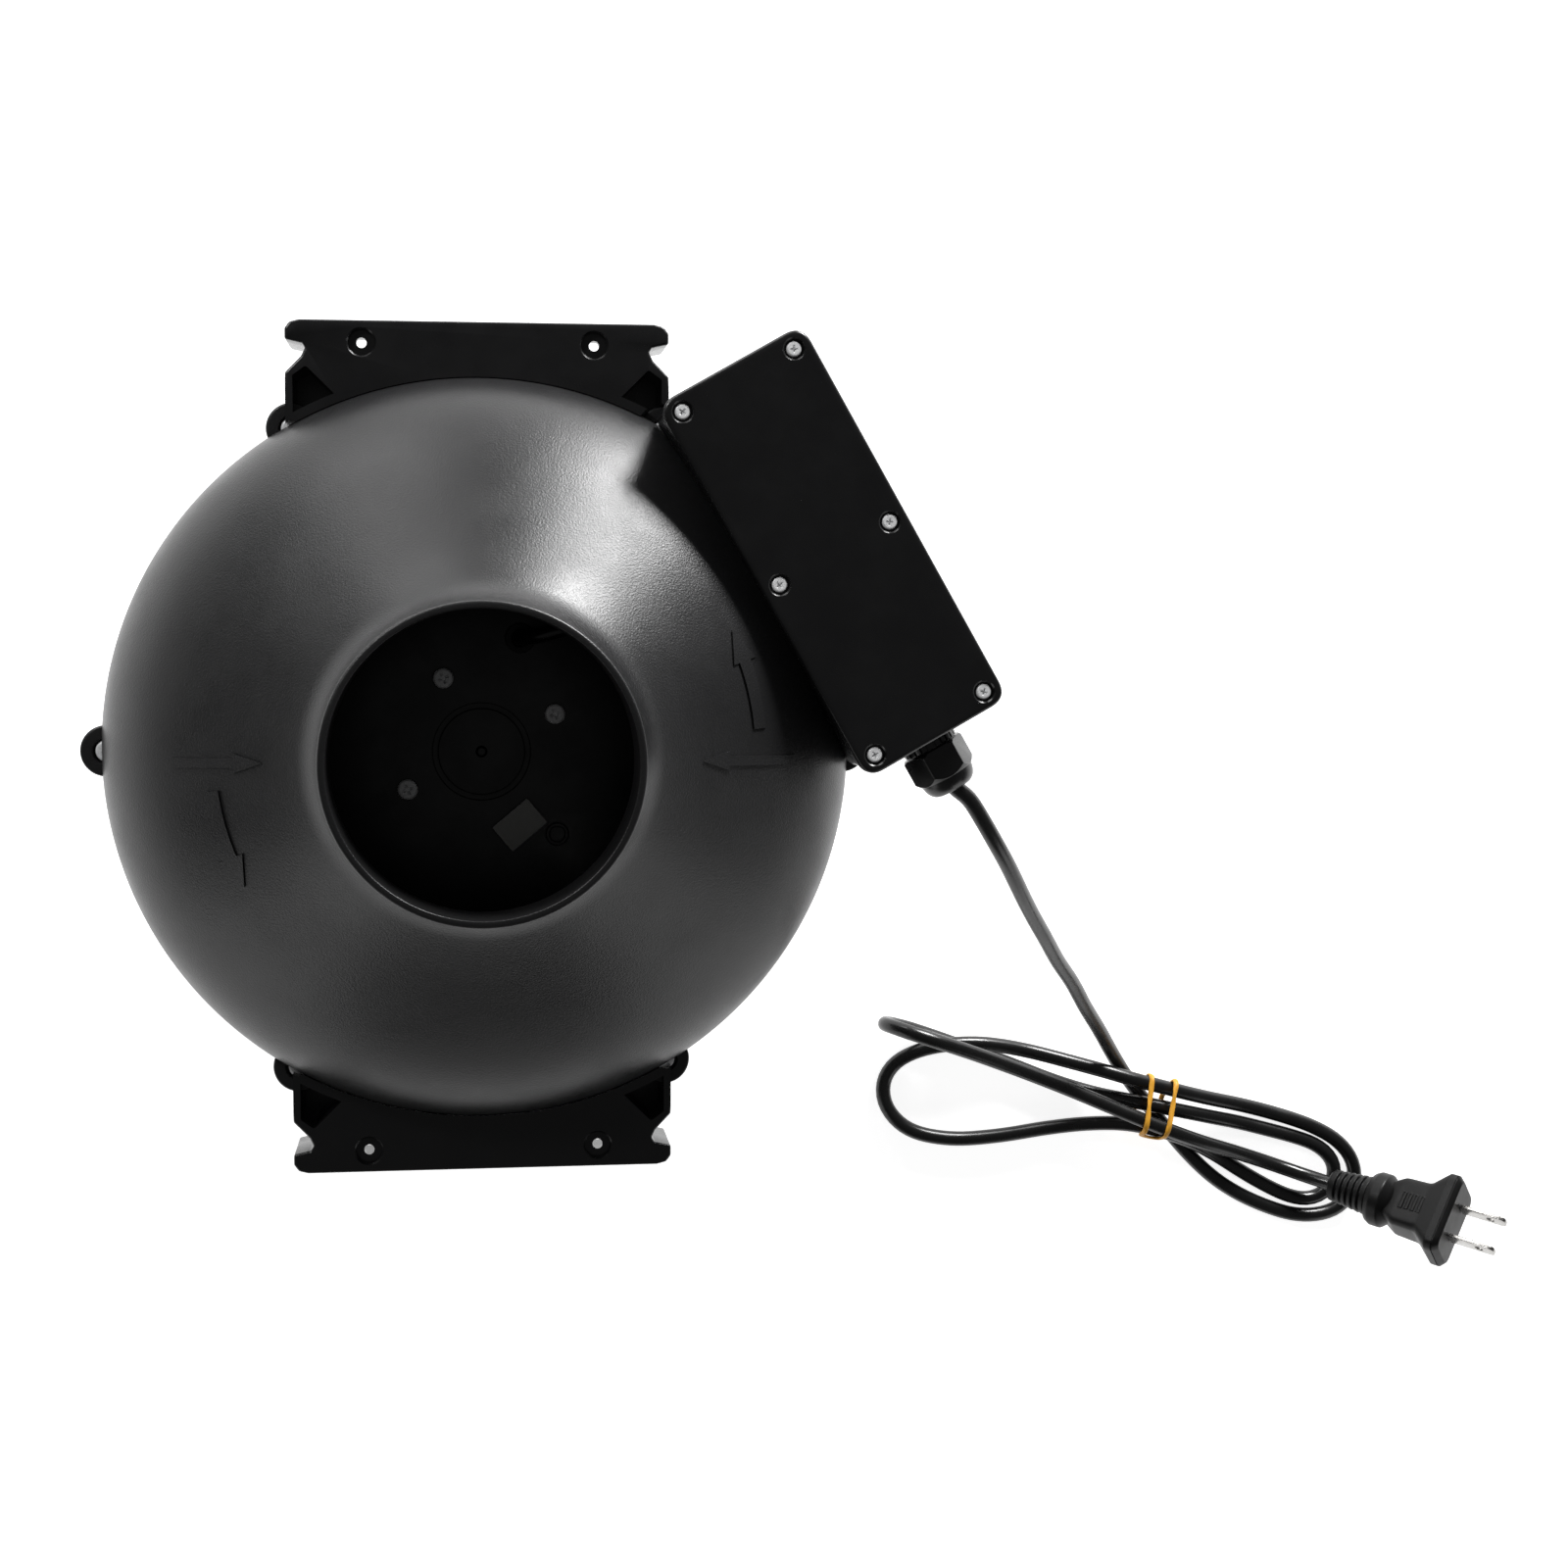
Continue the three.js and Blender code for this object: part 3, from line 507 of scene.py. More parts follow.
# From the gland to the table.
FALL = [
    (163.5, -16, 140), (169, -24, 138), (175, -33, 133.5), (181, -41.5, 126), (187.5, -51, 115.5),
    (194.5, -60.5, 103), (203, -71, 88), (212, -82, 71), (222, -93, 54), (231, -104.5, 38),
    (240.5, -116, 23), (249, -127.5, 11), (256.5, -138, 4.5),
]
# Under the band to the far end, round it, and back over the fallen strand.
FIRST_RUN = [
    (264, -147.6, 3.4), (272, -157.8, 4), (282.5, -170, 3.2), (293, -180, 3), (304, -187.4, 3),
    (316, -193, 3), (327, -196.5, 3), (337, -197, 3), (345.6, -194.6, 3), (351.4, -188.6, 3),
    (353.2, -180.6, 3), (350.6, -172.6, 3), (344, -165.8, 3), (334.6, -160.6, 3), (325, -157, 3),
    (315, -153.9, 3), (304, -150.9, 3.8), (293, -148.2, 6), (282, -145.2, 8.8), (270, -141.7, 11),
    (258, -138.2, 12.6), (246, -134.6, 11.6), (232, -131, 7.6), (216.7, -127, 5.6), (203, -124, 7.4),
    (192, -122.8, 9), (180, -123.4, 9), (170, -126.2, 6.6),
]
# The flat loop near the fan, back through the band, round the far end inside the first turn.
SECOND_RUN = [
    (162.5, -131, 4), (158.3, -138, 3), (158.6, -146.5, 3), (163.5, -154, 3), (172, -159.3, 3),
    (187, -162, 3), (205, -161.2, 3), (224.9, -158.6, 3), (241, -157, 4.4), (256, -156.8, 8),
    (270, -159.6, 10.2), (283, -164.8, 8), (294, -171, 4.4), (305, -178.2, 3), (316, -184.6, 3),
    (325.5, -189, 3), (333.8, -190.4, 3), (341, -187.4, 3), (344.6, -181, 3), (342.8, -173.8, 3),
    (336.6, -168.4, 3), (328, -165, 3), (317, -161.8, 3), (303, -158, 3.8), (290, -154.8, 6.8),
    (278, -151.8, 9.4), (266, -149, 10), (252, -146.4, 7), (240, -143.8, 3.8),
    (225, -138.8, 3), (208.8, -132.2, 3), (193, -126.2, 3), (180, -121.4, 3),
]
# The standing loop near the fan, and over the bundle to the plug.
LAST_RUN = [
    (169, -117.4, 4), (160, -114.4, 9), (156.2, -113, 17), (158.6, -113.2, 24.6), (165, -115, 29.4),
    (174, -118, 30.6), (186, -122.4, 27.6), (200, -128, 23), (216, -134.6, 19), (232, -141.4, 16.6),
    (247, -148, 16), (260, -153.6, 16.2), (273, -158.9, 16), (286, -164, 13.4), (299, -168.6, 9),
    (310, -172.6, 6), (320, -176.2, 5.6), (329, -179.2, 8.4), (335, -180.9, 12.1),
]


def add_cord():
    """The whole cord as one curve; returns it, its exit from the gland and its length, in metres."""
    start = BOX_PLACE @ Vector((GLAND_MOUTH, 0, GLAND_Z))
    inside = BOX_PLACE @ Vector((GLAND_MOUTH - 8, 0, GLAND_Z))
    end = [PLUG_PLACE @ Vector((x, 0, 0)) for x in (-0.5, 9)]
    route = smooth_path([inside, start, *FALL, *FIRST_RUN, *SECOND_RUN, *LAST_RUN, *end], 2.2)
    route = [TO_ROW @ p for p in route]
    length = sum((b - a).length for a, b in zip(route, route[1:]))
    curve = bpy.data.curves.new("power_cord_run", "CURVE")
    curve.dimensions = "3D"
    curve.bevel_depth = CORD_R * 0.001
    curve.bevel_resolution = 7
    curve.use_fill_caps = True
    spline = curve.splines.new("POLY")
    spline.points.add(len(route) - 1)
    for point, place in zip(spline.points, route):
        point.co = (*place, 1)
    spline.use_smooth = True
    curve.materials.append(SHEATH)
    cord = bpy.data.objects.new("power_cord_run", curve)
    bpy.context.scene.collection.objects.link(cord)
    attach(cord, "casing")
    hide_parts("power_cord", "cord_hank", "cord_tail")
    return cord, TO_ROW @ start, length


cord, cord_exit, cord_length = add_cord()


# ---------------------------------------------------------------- stage and light
def softbox(name, place, aim, size, power):
    light = bpy.data.lights.new(name, "AREA")
    light.shape = "RECTANGLE"
    light.size, light.size_y = size
    light.energy = power
    obj = bpy.data.objects.new(name, light)
    obj.location = place
    obj.rotation_euler = (Vector(aim) - Vector(place)).to_track_quat("-Z", "Y").to_euler()
    obj.visible_camera = False
    bpy.context.scene.collection.objects.link(obj)


def add_stage():
    floor_mesh = bpy.data.meshes.new("floor")
    floor_mesh.from_pydata([(-12, -12, 0), (12, -12, 0), (12, 12, 0), (-12, 12, 0)], [], [(0, 1, 2, 3)])
    floor = bpy.data.objects.new("floor", floor_mesh)
    bpy.context.scene.collection.objects.link(floor)
    floor.location.z = cad_low.z - 0.0002
    material, _, _, shader = new_material("pale_floor")
    shader.inputs["Base Color"].default_value = (0.9, 0.9, 0.9, 1)
    shader.inputs["Roughness"].default_value = 0.9
    shader.inputs["Emission Color"].default_value = (1, 1, 1, 1)
    shader.inputs["Emission Strength"].default_value = 0.86
    floor_mesh.materials.append(material)

    world = bpy.data.worlds.new("studio")
    world.use_nodes = True
    background = world.node_tree.nodes["Background"]
    background.inputs["Color"].default_value = (1, 1, 1, 1)
    background.inputs["Strength"].default_value = 0.09
    scene = bpy.context.scene
    scene.world = world
    scene.view_settings.view_transform = "Standard"

    softbox("key_upper_right", (0.62, 1.05, 0.34), (0, 0, 0.16), (0.42, 0.34), 26)
    softbox("side_upper_left", (-0.50, 1.3, 0.40), (0, 0, 0.16), (0.7, 0.4), 5)
    softbox("small_top_left", (-0.85, 0.9, 1.05), (0, 0, 0.12), (0.25, 0.25), 7)
    softbox("front_low_left", (-1.15, -1.15, 0.42), (0, 0, 0.14), (0.9, 0.6), 2.6)
    softbox("front_low_right", (1.15, -1.15, 0.42), (0, 0, 0.14), (0.9, 0.6), 2.6)


add_stage()


# ---------------------------------------------------------------- casings
def bezier(points, steps):
    """Points on one curve of degree 2 or 3."""
    out = []
    for i in range(steps + 1):
        row = [Vector(p) for p in points]
        while len(row) > 1:
            row = [a.lerp(b, i / steps) for a, b in zip(row, row[1:])]
        out.append(tuple(row[0]))
    return out


def bowl_curve(inset=0.0):
    """A bowl's wall from the seam to the duct collar, as (radius, height above the seam)."""
    r, slant = BOWL_R - inset, inset * 0.75
    shoulder = (57 - slant, 76 - slant)
    wall = bezier([(r, 0), (r, 34 - slant), (90 - slant, 48 - slant), shoulder], 26)
    neck = bezier([shoulder, (50.2 - slant, 81.8 - slant), (SPIGOT_R - inset * 0.83, 92 - inset)], 10)
    return wall + neck[1:]


def envelope(grow):
    """Everything inside a bowl's outer face grown by that much, standing on z = 0."""
    return lathe([(0, 0), *bowl_curve(-grow), (0, 92 + grow)], ROUND)


def mirrored(bm):
    """Upside down, with its faces still looking outwards."""
    bm.transform(Matrix.Scale(-1, 4, (0, 0, 1)))
    bmesh.ops.reverse_faces(bm, faces=bm.faces)
    return bm


def at_angle(bm, r, angle, z=0.0):
    return moved(bm, (*polar(r, angle), z))


def radial_rod(azimuth, z, r, start, end):
    """A rod pointing outwards from the fan axis."""
    turn = Matrix.Rotation(radians(azimuth), 4, "Z") @ Z_TO_X
    return moved(rod(r, start, end), (0, 0, z), turn)


def arrow(shaft, head):
    """An arrow raised on the outlet bowl, from corners given as (radius, azimuth)."""
    outline = [polar(r, a) for r, a in shaft[0] + head + shaft[1]]
    mark = moved(prism(outline, 0, 100), (0, 0, 5))
    return cut(common(mark, envelope(0.55)), envelope(-1))


def radial_arrow(azimuth, start, end, tip):
    """An arrow towards the collar, from one radius to another."""
    half, wide = 1.55, 3.1

    def beside(r, y):
        return (r, azimuth + y / r * 180 / pi)

    head = [beside(end, -wide), (tip, azimuth), beside(end, wide)]
    shaft = ([beside(start, -half), beside(end, -half)], [beside(end, half), beside(start, half)])
    return arrow(shaft, head)


def curved_arrow(r0, r1, start, end, tip):
    """An arrow round the axis, from one azimuth to another."""
    steps = [start + (end - start) * i / 12 for i in range(13)]
    head = [(r1 + 2.1, end), ((r0 + r1) / 2, tip), (r0 - 2.1, end)]
    return arrow(([(r1, a) for a in steps], [(r0, a) for a in reversed(steps)]), head)


def lug_solids(through):
    """Six lugs and the cutters for their screws; with through, screws go in from this side."""
    adds, cuts = [], []
    for angle in LUG_ANGLES:
        profile = rounded([(0, 0.15), (LUG_R, 0.15), (LUG_R, 6, 1), (0, 6)], False)
        adds.append(at_angle(lathe(profile, 72), LUG_CIRCLE_R, angle))
        hole = rod(LUG_SCREW_HOLE_R, -1, 7 if through else 4.5, 32)
        cuts.append(at_angle(hole, LUG_CIRCLE_R, angle))
        if through:
            cup = [(0, 3.4), (4.4, 3.4), (4.4, 5.7), (5.2, 6.5), (5.2, 9), (0, 9)]
            cuts.append(at_angle(lathe(cup, 48), LUG_CIRCLE_R, angle))
        if angle % 180:
            cuts.append(at_angle(rod(LUG_RECESS_R, -1, 1.3, 72), LUG_CIRCLE_R, angle))
    return adds, cuts


def outer_face():
    """A bowl from its edge at the seam to the rim of its duct collar and down the collar's bore."""
    edge = rounded([(BOWL_R - WALL, 0.15), (BOWL_R, 0.15, 0.7), bowl_curve()[2]], False)[:-1]
    collar = [(SPIGOT_R, 92), (SPIGOT_R, RIM, 1.6), (THROAT_R, RIM, 0.6), (THROAT_R, 96)]
    return [*edge, *bowl_curve()[2:-1], *rounded(collar, False, 6)]


def add_outlet_bowl():
    """The bowl with the outlet, its arrows and the bosses that carry the terminal box."""
    body = lathe([*outer_face(), *reversed(bowl_curve(WALL)[1:])], ROUND, loop=True)
    adds, cuts = lug_solids(True)
    marks = [
        radial_arrow(181.2, 98.4, 77.5, 68.2),
        radial_arrow(358.6, 102.4, 79, 69.9),
        curved_arrow(83.2, 87.8, 187.2, 202, 208.8),
        curved_arrow(88, 92, 5.2, 19.5, 26.4),
    ]
    body = joined(body, *adds, *marks)
    for turn in BOSS_TURNS:
        body = joined(body, radial_rod(BOX_AZIMUTH + turn, BOSS_Z, 5, 103, 114))
        cuts.append(radial_rod(BOX_AZIMUTH + turn, BOSS_Z, 1.9, 105, 125))
    cuts.append(radial_rod(BOX_AZIMUTH, BOSS_Z, 4.5, 95, 130))
    body = moved(cut(body, *cuts), (0, 0, SEAM))
    piece("outlet_bowl", body, CASING, ["outlet_casing"])


def add_inlet_bowl():
    """The bowl with the inlet, whose bell mouth narrows towards the impeller."""
    bell = [(THROAT_R, 84), (43.6, 66), (42.8, 56, 0.8), (44.8, 56, 0.8), (46.4, 66), (50.5, 78)]
    inner = [p for p in bowl_curve(WALL)[1:] if p[0] > 54]
    body = lathe([*outer_face(), *rounded(bell, False), *reversed(inner)], ROUND, loop=True)
    adds, cuts = lug_solids(False)
    body = mirrored(cut(joined(body, *adds), *cuts))
    piece("inlet_bowl", moved(body, (0, 0, SEAM)), CASING, ["inlet_casing"])


# ---------------------------------------------------------------- screws
def cross_recess(size, depth, top):
    """The tapered cross of a screw head, as two solids."""
    arms = []
    for turn in (0, pi / 2):
        rings = []
        for z, reach, half in ((top - depth, 0.35, 0.16), (top + 0.5, 1.1, 0.27)):
            x, y = size * reach, size * half
            rings.append([(-x, -y, z), (x, -y, z), (x, y, z), (-x, y, z)])
        arms.append(moved(skin(rings), turn=Matrix.Rotation(turn + 0.4, 4, "Z")))
    return arms


def pan_screw(head_r, head_h, shank_r, length, teeth=0):
    """A cross-headed pan screw along Z, its head's seat at z = 0. Teeth notch the head's edge."""
    edge = [(head_r, head_h * 0.5), (head_r, head_h * 0.9), (head_r * 0.9, head_h), (head_r * 0.7, head_h)]
    crown = [*bezier(edge, 8), (0, head_h)]
    foot = rounded([(0, -length), (shank_r * 0.6, -length), (shank_r, -length + 1), (shank_r, 0)], False)
    head = lathe([*foot, (head_r - 0.15, 0), (head_r, 0.15), *crown], 72)
    head = cut(head, *cross_recess(head_r * 0.58, head_h * 0.75, head_h))
    for k in range(teeth):
        notch = block(head_r - 0.35, head_r + 1, -0.16, 0.16, -0.1, head_h * 0.6)
        head = cut(head, moved(notch, turn=Matrix.Rotation(2 * pi * k / teeth, 4, "Z")))
    return head


def add_screws():
    """The screws of the lugs, the motor and the box's cover."""
    made = {}
    for i, angle in enumerate(LUG_ANGLES):
        screw = pan_screw(head_r=3.6, head_h=2.2, shank_r=1.9, length=7.5)
        made[f"casing_screw_{i + 1}"] = at_angle(screw, LUG_CIRCLE_R, angle, SEAM + 3.7)
    for i, angle in enumerate(MOTOR_SCREW_ANGLES):
        screw = pan_screw(head_r=3.4, head_h=2, shank_r=1.8, length=9, teeth=28)
        made[f"motor_screw_{i + 1}"] = at_angle(screw, MOTOR_SCREW_R, angle, HUB_TOP + GAP)
    for i, (x, y) in enumerate(COVER_SCREWS):
        screw = pan_screw(head_r=2.5, head_h=1.7, shank_r=1.4, length=12)
        moved(screw, (x, y, BOX_TOP - 2.1), Matrix.Rotation(i * 0.7, 4, "Z"))
        screw.transform(BOX_PLACE)
        made[f"cover_screw_{i + 1}"] = screw
    for node, screw in made.items():
        piece(f"{node}_head", screw, ZINC_PAINTED_REFLECTION, [node])


# ---------------------------------------------------------------- mounting brackets
def bracket(covered):
    """The upper bracket; covered means its right-hand lug recess runs out at the top."""
    w, y = BRACKET_HALF_WIDTH, BRACKET_FACE_Y
    side = [
        (w, 100), (w, y - 17.5, 1.5), (w - 5.3, y - 12, 1.5), (w - 6.6, y - 9.4, 1), (w - 5.6, y - 7.8, 1),
        (w, y - 6.6, 1), (w, y - 3, 1.5), (w - 1.6, y - 0.8, 2), (w - 4.8, y, 2),
    ]
    other = [(-p[0], *p[1:]) for p in reversed(side)]

    def outer(edge):
        return rise(edge) < 0.01 and min(v.co.y for v in edge.verts) > 100.5

    body = prism(rounded(side + other, steps=4), BRACKET_BOTTOM, BRACKET_TOP)
    body = bevelled(body, 0.9, 3, 60, outer)
    bowls = joined(moved(envelope(0.4), (0, 0, SEAM)), moved(mirrored(envelope(0.4)), (0, 0, SEAM)))
    body = cut(body, bowls)
    hollow = block(-w + 20, w - 20, 90, y - 3.2, BRACKET_BOTTOM - 1, BRACKET_TOP - 6)
    body = cut(body, cut(hollow, rod(BRACKET_SADDLE_R, 90, 130, ROUND)))
    for sign in (-1, 1):
        inner = w - 2.4
        corners = [(inner, 95), (inner, y - 18.4, 1), (inner - 4.4, y - 15.2, 1), (inner - 34.6, y - 45)]
        pocket = [(px * sign, py) for px, py in rounded(corners, steps=4)]
        pocket = prism(pocket, BRACKET_BOTTOM + 3, BRACKET_TOP + 1)
        body = cut(body, cut(pocket, rod(BRACKET_SADDLE_R, 90, 130, ROUND)))
        angle = 60 if sign > 0 else 120
        top = BRACKET_TOP + 1 if sign > 0 and covered else SEAM + 6.3
        body = cut(body, at_angle(rod(LUG_RECESS_R, SEAM - 6.3, top, 64), LUG_CIRCLE_R, angle))
        ear = bevelled(rod(LUG_R, SEAM - 1, SEAM + 1, 64), 0.25, 3, 60)
        tab = block(-1, 1, 3, LUG_R + 3, SEAM - 1, SEAM + 1)
        tab = moved(tab, (sign * (w - 1.2), polar(LUG_CIRCLE_R, angle)[1], 0))
        body = joined(body, tab, at_angle(ear, LUG_CIRCLE_R, angle))
        hole = rod(LUG_SCREW_HOLE_R, BRACKET_BOTTOM, BRACKET_TOP, 32)
        body = cut(body, at_angle(hole, LUG_CIRCLE_R, angle))
    for x in (-BRACKET_HOLE_X, BRACKET_HOLE_X):
        hole = [(0, 90), (BRACKET_HOLE_R, 90), (BRACKET_HOLE_R, 124.6), (4.4, 124.6)]
        hole += [(4.4, 126.5), (5.1, 127.2), (5.1, 130), (0, 130)]
        body = cut(body, moved(lathe(hole, 48), (x, y - 7.3, 0)))
    return body


def add_brackets():
    piece("top_bracket", bracket(True), BOX, ["bracket_top"])
    lower = moved(bracket(False), turn=Matrix.Rotation(pi, 4, "Z"))
    piece("bottom_bracket", lower, BOX, ["bracket_bottom"])


# ---------------------------------------------------------------- terminal box
def rounded_rectangle(length, width, r):
    x, y = length / 2, width / 2
    return rounded([(x, y, r), (-x, y, r), (-x, -y, r), (x, -y, r)], steps=10)


def box_slab(inset, z0, z1):
    length, width = BOX_LENGTH - 2 * inset, BOX_WIDTH - 2 * inset
    return prism(rounded_rectangle(length, width, BOX_CORNER - inset), z0, z1)


def in_box(bm):
    """From the fan's place to the box's own."""
    bm.transform(BOX_PLACE.inverted())
    return bm


def drilled(body, r, z0, z1):
    """With a hole for each of the cover's screws."""
    return cut(body, *[moved(rod(r, z0, z1, 40), (x, y, 0)) for x, y in COVER_SCREWS])


def add_box_base():
    shell = bevelled(box_slab(1, BOX_BOTTOM, BOX_RIM), 1.2, 4, 60, near(BOX_BOTTOM))
    shell = bevelled(shell, 0.35, 3, 60, near(BOX_RIM))
    liner = in_box(moved(envelope(3), (0, 0, SEAM)))
    body = cut(shell, cut(box_slab(3.5, BOX_BOTTOM + 2.5, BOX_RIM + 1), liner))
    outline = box_slab(1, BOX_BOTTOM, BOX_RIM - 0.4)
    pillars = [moved(rod(4.6, BOX_BOTTOM + 1, BOX_RIM, 40), (x, y, 0)) for x, y in COVER_SCREWS]
    body = joined(body, common(joined(*pillars), outline))
    for turn in BOSS_TURNS:
        body = joined(body, in_box(radial_rod(BOX_AZIMUTH + turn, SEAM + BOSS_Z, 5.5, 110, 123)))
        body = cut(body, in_box(radial_rod(BOX_AZIMUTH + turn, SEAM + BOSS_Z, 2.2, 100, 124)))
    body = drilled(body, 1.8, BOX_RIM - 12, BOX_RIM + 1)
    body = cut(body, in_box(moved(envelope(0.5), (0, 0, SEAM))))
    body = cut(body, in_box(radial_rod(BOX_AZIMUTH, SEAM + BOSS_Z, 4.5, 95, 128)))
    body = cut(body, moved(rod(8.3, 0, 20), (BOX_LENGTH / 2 - 10, 0, GLAND_Z), Z_TO_X))
    body.transform(BOX_PLACE)
    piece("box_base", body, BOX, ["terminal_box_base"])


def add_box_gasket():
    low = GASKET_LOW
    gasket = cut(box_slab(1.5, low, low + GASKET_THICKNESS), box_slab(5.8, low - 1, low + 3))
    gasket = drilled(gasket, 2.2, low - 1, low + 3)
    gasket.transform(BOX_PLACE)
    piece("box_gasket", gasket, RUBBER, ["terminal_box_gasket"])


def add_box_cover():
    cover = bevelled(box_slab(0, COVER_LOW, BOX_TOP), 1.3, 4, 60, near(BOX_TOP))
    cover = bevelled(cover, 0.3, 3, 60, near(COVER_LOW))
    seat = BOX_TOP - 2.4
    cup = [(0, COVER_LOW - 1), (1.9, COVER_LOW - 1), (1.9, seat), (3.3, seat), (3.3, BOX_TOP - 0.45)]
    cup += [(3.9, BOX_TOP + 0.15), (3.9, BOX_TOP + 2), (0, BOX_TOP + 2)]
    cover = cut(cover, *[moved(lathe(cup, 56), (x, y, 0)) for x, y in COVER_SCREWS])
    cover.transform(BOX_PLACE)
    piece("box_cover", cover, BOX, ["terminal_box_cover"])


GLAND_PLACE = BOX_PLACE @ Matrix.Translation((0, 0, GLAND_Z)) @ Z_TO_X


def add_gland_collar():
    face = GLAND_FACE
    flange = [(8, face + GAP), (9.6, face + GAP, 0.3), (9.6, face + 5.2, 0.7), (8.2, face + 5.2)]
    profile = [(5.6, face - 9), (7.4, face - 9), (8, face - 8.4), *rounded(flange, False)]
    profile += [(7.2, face + 5.4), (7.2, face + 13), (5.6, face + 13)]
    body = lathe(profile, 96, loop=True)
    for k in range(24):
        slot = block(8.9, 12, -0.45, 0.45, face + 1.5, face + 6)
        body = cut(body, moved(slot, turn=Matrix.Rotation(2 * pi * k / 24, 4, "Z")))
    body.transform(GLAND_PLACE)
    piece("gland_collar", body, BOX, ["gland_body"])


def add_gland_cap():
    """The hexagonal nut, closed by a dome with the cord's hole."""
    face, bore = GLAND_FACE, CORD_R + GAP
    nut = prism([polar(11.2, 60 * k) for k in range(6)], face + 5.6, face + 16.2)
    nut = moved(nut, turn=Matrix.Rotation(pi / 6, 4, "Z"))
    nut = bevelled(nut, 0.35, 3, 40, lambda e: rise(e) > 5)
    turned = [(0, face), (10.4, face), (10.4, face + 5.8, 0.8), (11.4, face + 6.8), (11.4, face + 14)]
    turned += [(9.6, face + 16.2), (9.6, face + 17), (0, face + 17)]
    nut = common(nut, lathe(rounded(turned, False), 96))
    dome = bezier([(9.5, face + 15.4), (9.3, face + 19.2), (7.9, face + 20.8), (6.4, GLAND_MOUTH)], 12)
    nut = joined(nut, lathe([(0, face + 15), (9.5, face + 15), *dome, (0, GLAND_MOUTH)], 96))
    hole = [(0, face - 1), (7.5, face - 1), (7.5, face + 13.4), (5.6, face + 13.4), (5.6, face + 15)]
    hole += [(bore + GAP, face + 15), (bore + GAP, GLAND_MOUTH - 1.5), (bore + 1.4, GLAND_MOUTH + 0.2)]
    hole += [(bore + 1.4, GLAND_MOUTH + 3), (0, GLAND_MOUTH + 3)]
    nut = cut(nut, lathe(hole, 96))
    nut.transform(GLAND_PLACE)
    piece("gland_cap", nut, BOX, ["gland_nut"])


# ---------------------------------------------------------------- motor carrier and impeller
def curved_plate(root, tip, start, sweep, thickness, z0, z1):
    """A plate standing round the axis that turns by sweep degrees from its root to its tip."""
    steps = 18
    middle = []
    for i in range(steps + 1):
        middle.append(Vector(polar(root + (tip - root) * i / steps, start + sweep * i / steps)))
    sides = ([], [])
    for i, p in enumerate(middle):
        along = (middle[min(i + 1, steps)] - middle[max(i - 1, 0)]).normalized()
        across = Vector((-along.y, along.x)) * (thickness / 2)
        sides[0].append(tuple(p + across))
        sides[1].append(tuple(p - across))
    return prism(sides[0] + sides[1][::-1], z0, z1)


LEAD_HOLE = polar(39.6, 71)
LEAD = [
    *[(*LEAD_HOLE, z) for z in (131, 137, 142, 146)],
    (*polar(43, 63), 151), (*polar(56, 50), 152.5), (*polar(72, 41), 149), (*polar(88, 34), 143),
    (*polar(100, BOX_AZIMUTH + 1), 139.5), (*polar(110, BOX_AZIMUTH), 139), (*polar(128, BOX_AZIMUTH), 139),
]


def hose(path, r):
    """A round bar along a path."""
    sides = 32
    rings = []
    circle = [(cos(2 * pi * k / sides), sin(2 * pi * k / sides)) for k in range(sides)]
    side = Vector((0.3, 1, 0.2))
    for i, p in enumerate(path):
        along = (path[min(i + 1, len(path) - 1)] - path[max(i - 1, 0)]).normalized()
        side = (side - along * side.dot(along)).normalized()
        other = along.cross(side)
        rings.append([p + r * (side * x + other * y) for x, y in circle])
    return skin(rings)


def add_carrier():
    """The drum that holds the motor, and the guide vanes between it and the bowl."""
    inner, groove = HUB_R - 2.5, HUB_TOP - 1.4
    hub = [
        (0, HUB_TOP - 3), (inner, HUB_TOP - 3, 0.8), (inner, SEAM + 1), (HUB_R, SEAM + 1, 0.4),
        (HUB_R, HUB_TOP, 2), (16.1, HUB_TOP, 0.25), (16.1, groove, 0.2), (14.2, groove, 0.2),
        (14.2, HUB_TOP, 0.25), (1.9, HUB_TOP, 0.2), (1.3, HUB_TOP + 0.9, 0.4), (0, HUB_TOP + 1),
    ]
    body = lathe(rounded(hub, False), 192)
    room = moved(lathe([(0, 0), *bowl_curve(WALL + 0.5), (0, 88)], 128), (0, 0, SEAM))
    room = cut(room, rod(HUB_R - 1, SEAM - 1, SEAM + 90, 128))
    vanes = []
    for k in range(VANE_COUNT):
        start = 5 + 360 * k / VANE_COUNT
        vane = curved_plate(HUB_R - 0.6, 124, start, -26, 2.2, SEAM + 4, SEAM + 36)
        vanes.append(bevelled(vane, 0.6, 3, 60, near(SEAM + 36)))
    body = joined(body, common(merged(*vanes), room))
    seat = [(2.4, -1), (3.9, -1), (3.9, 0.7), (3.5, 1), (2.8, 1), (2.4, 0.7)]
    seat = lathe([(r, HUB_TOP + z) for r, z in seat], 48, loop=True)
    body = joined(body, moved(seat, (*polar(37, 312), 0)))
    cuts = [at_angle(rod(2.1, HUB_TOP - 5, HUB_TOP + 1, 32), MOTOR_SCREW_R, a) for a in MOTOR_SCREW_ANGLES]
    cuts += [at_angle(rod(LUG_R + 0.8, SEAM, SEAM + 8, 48), LUG_CIRCLE_R, a) for a in LUG_ANGLES]
    cuts += [radial_rod(BOX_AZIMUTH + turn, SEAM + BOSS_Z, 5.7, 101, 125) for turn in BOSS_TURNS]
    cuts.append(moved(rod(4.1, HUB_TOP - 5, HUB_TOP + 1, 48), (*LEAD_HOLE, 0)))
    cuts.append(hose(smooth_path(LEAD, 3), 3.6))
    piece("guide_vane_drum", cut(body, *cuts), INSIDE, ["motor_carrier"])


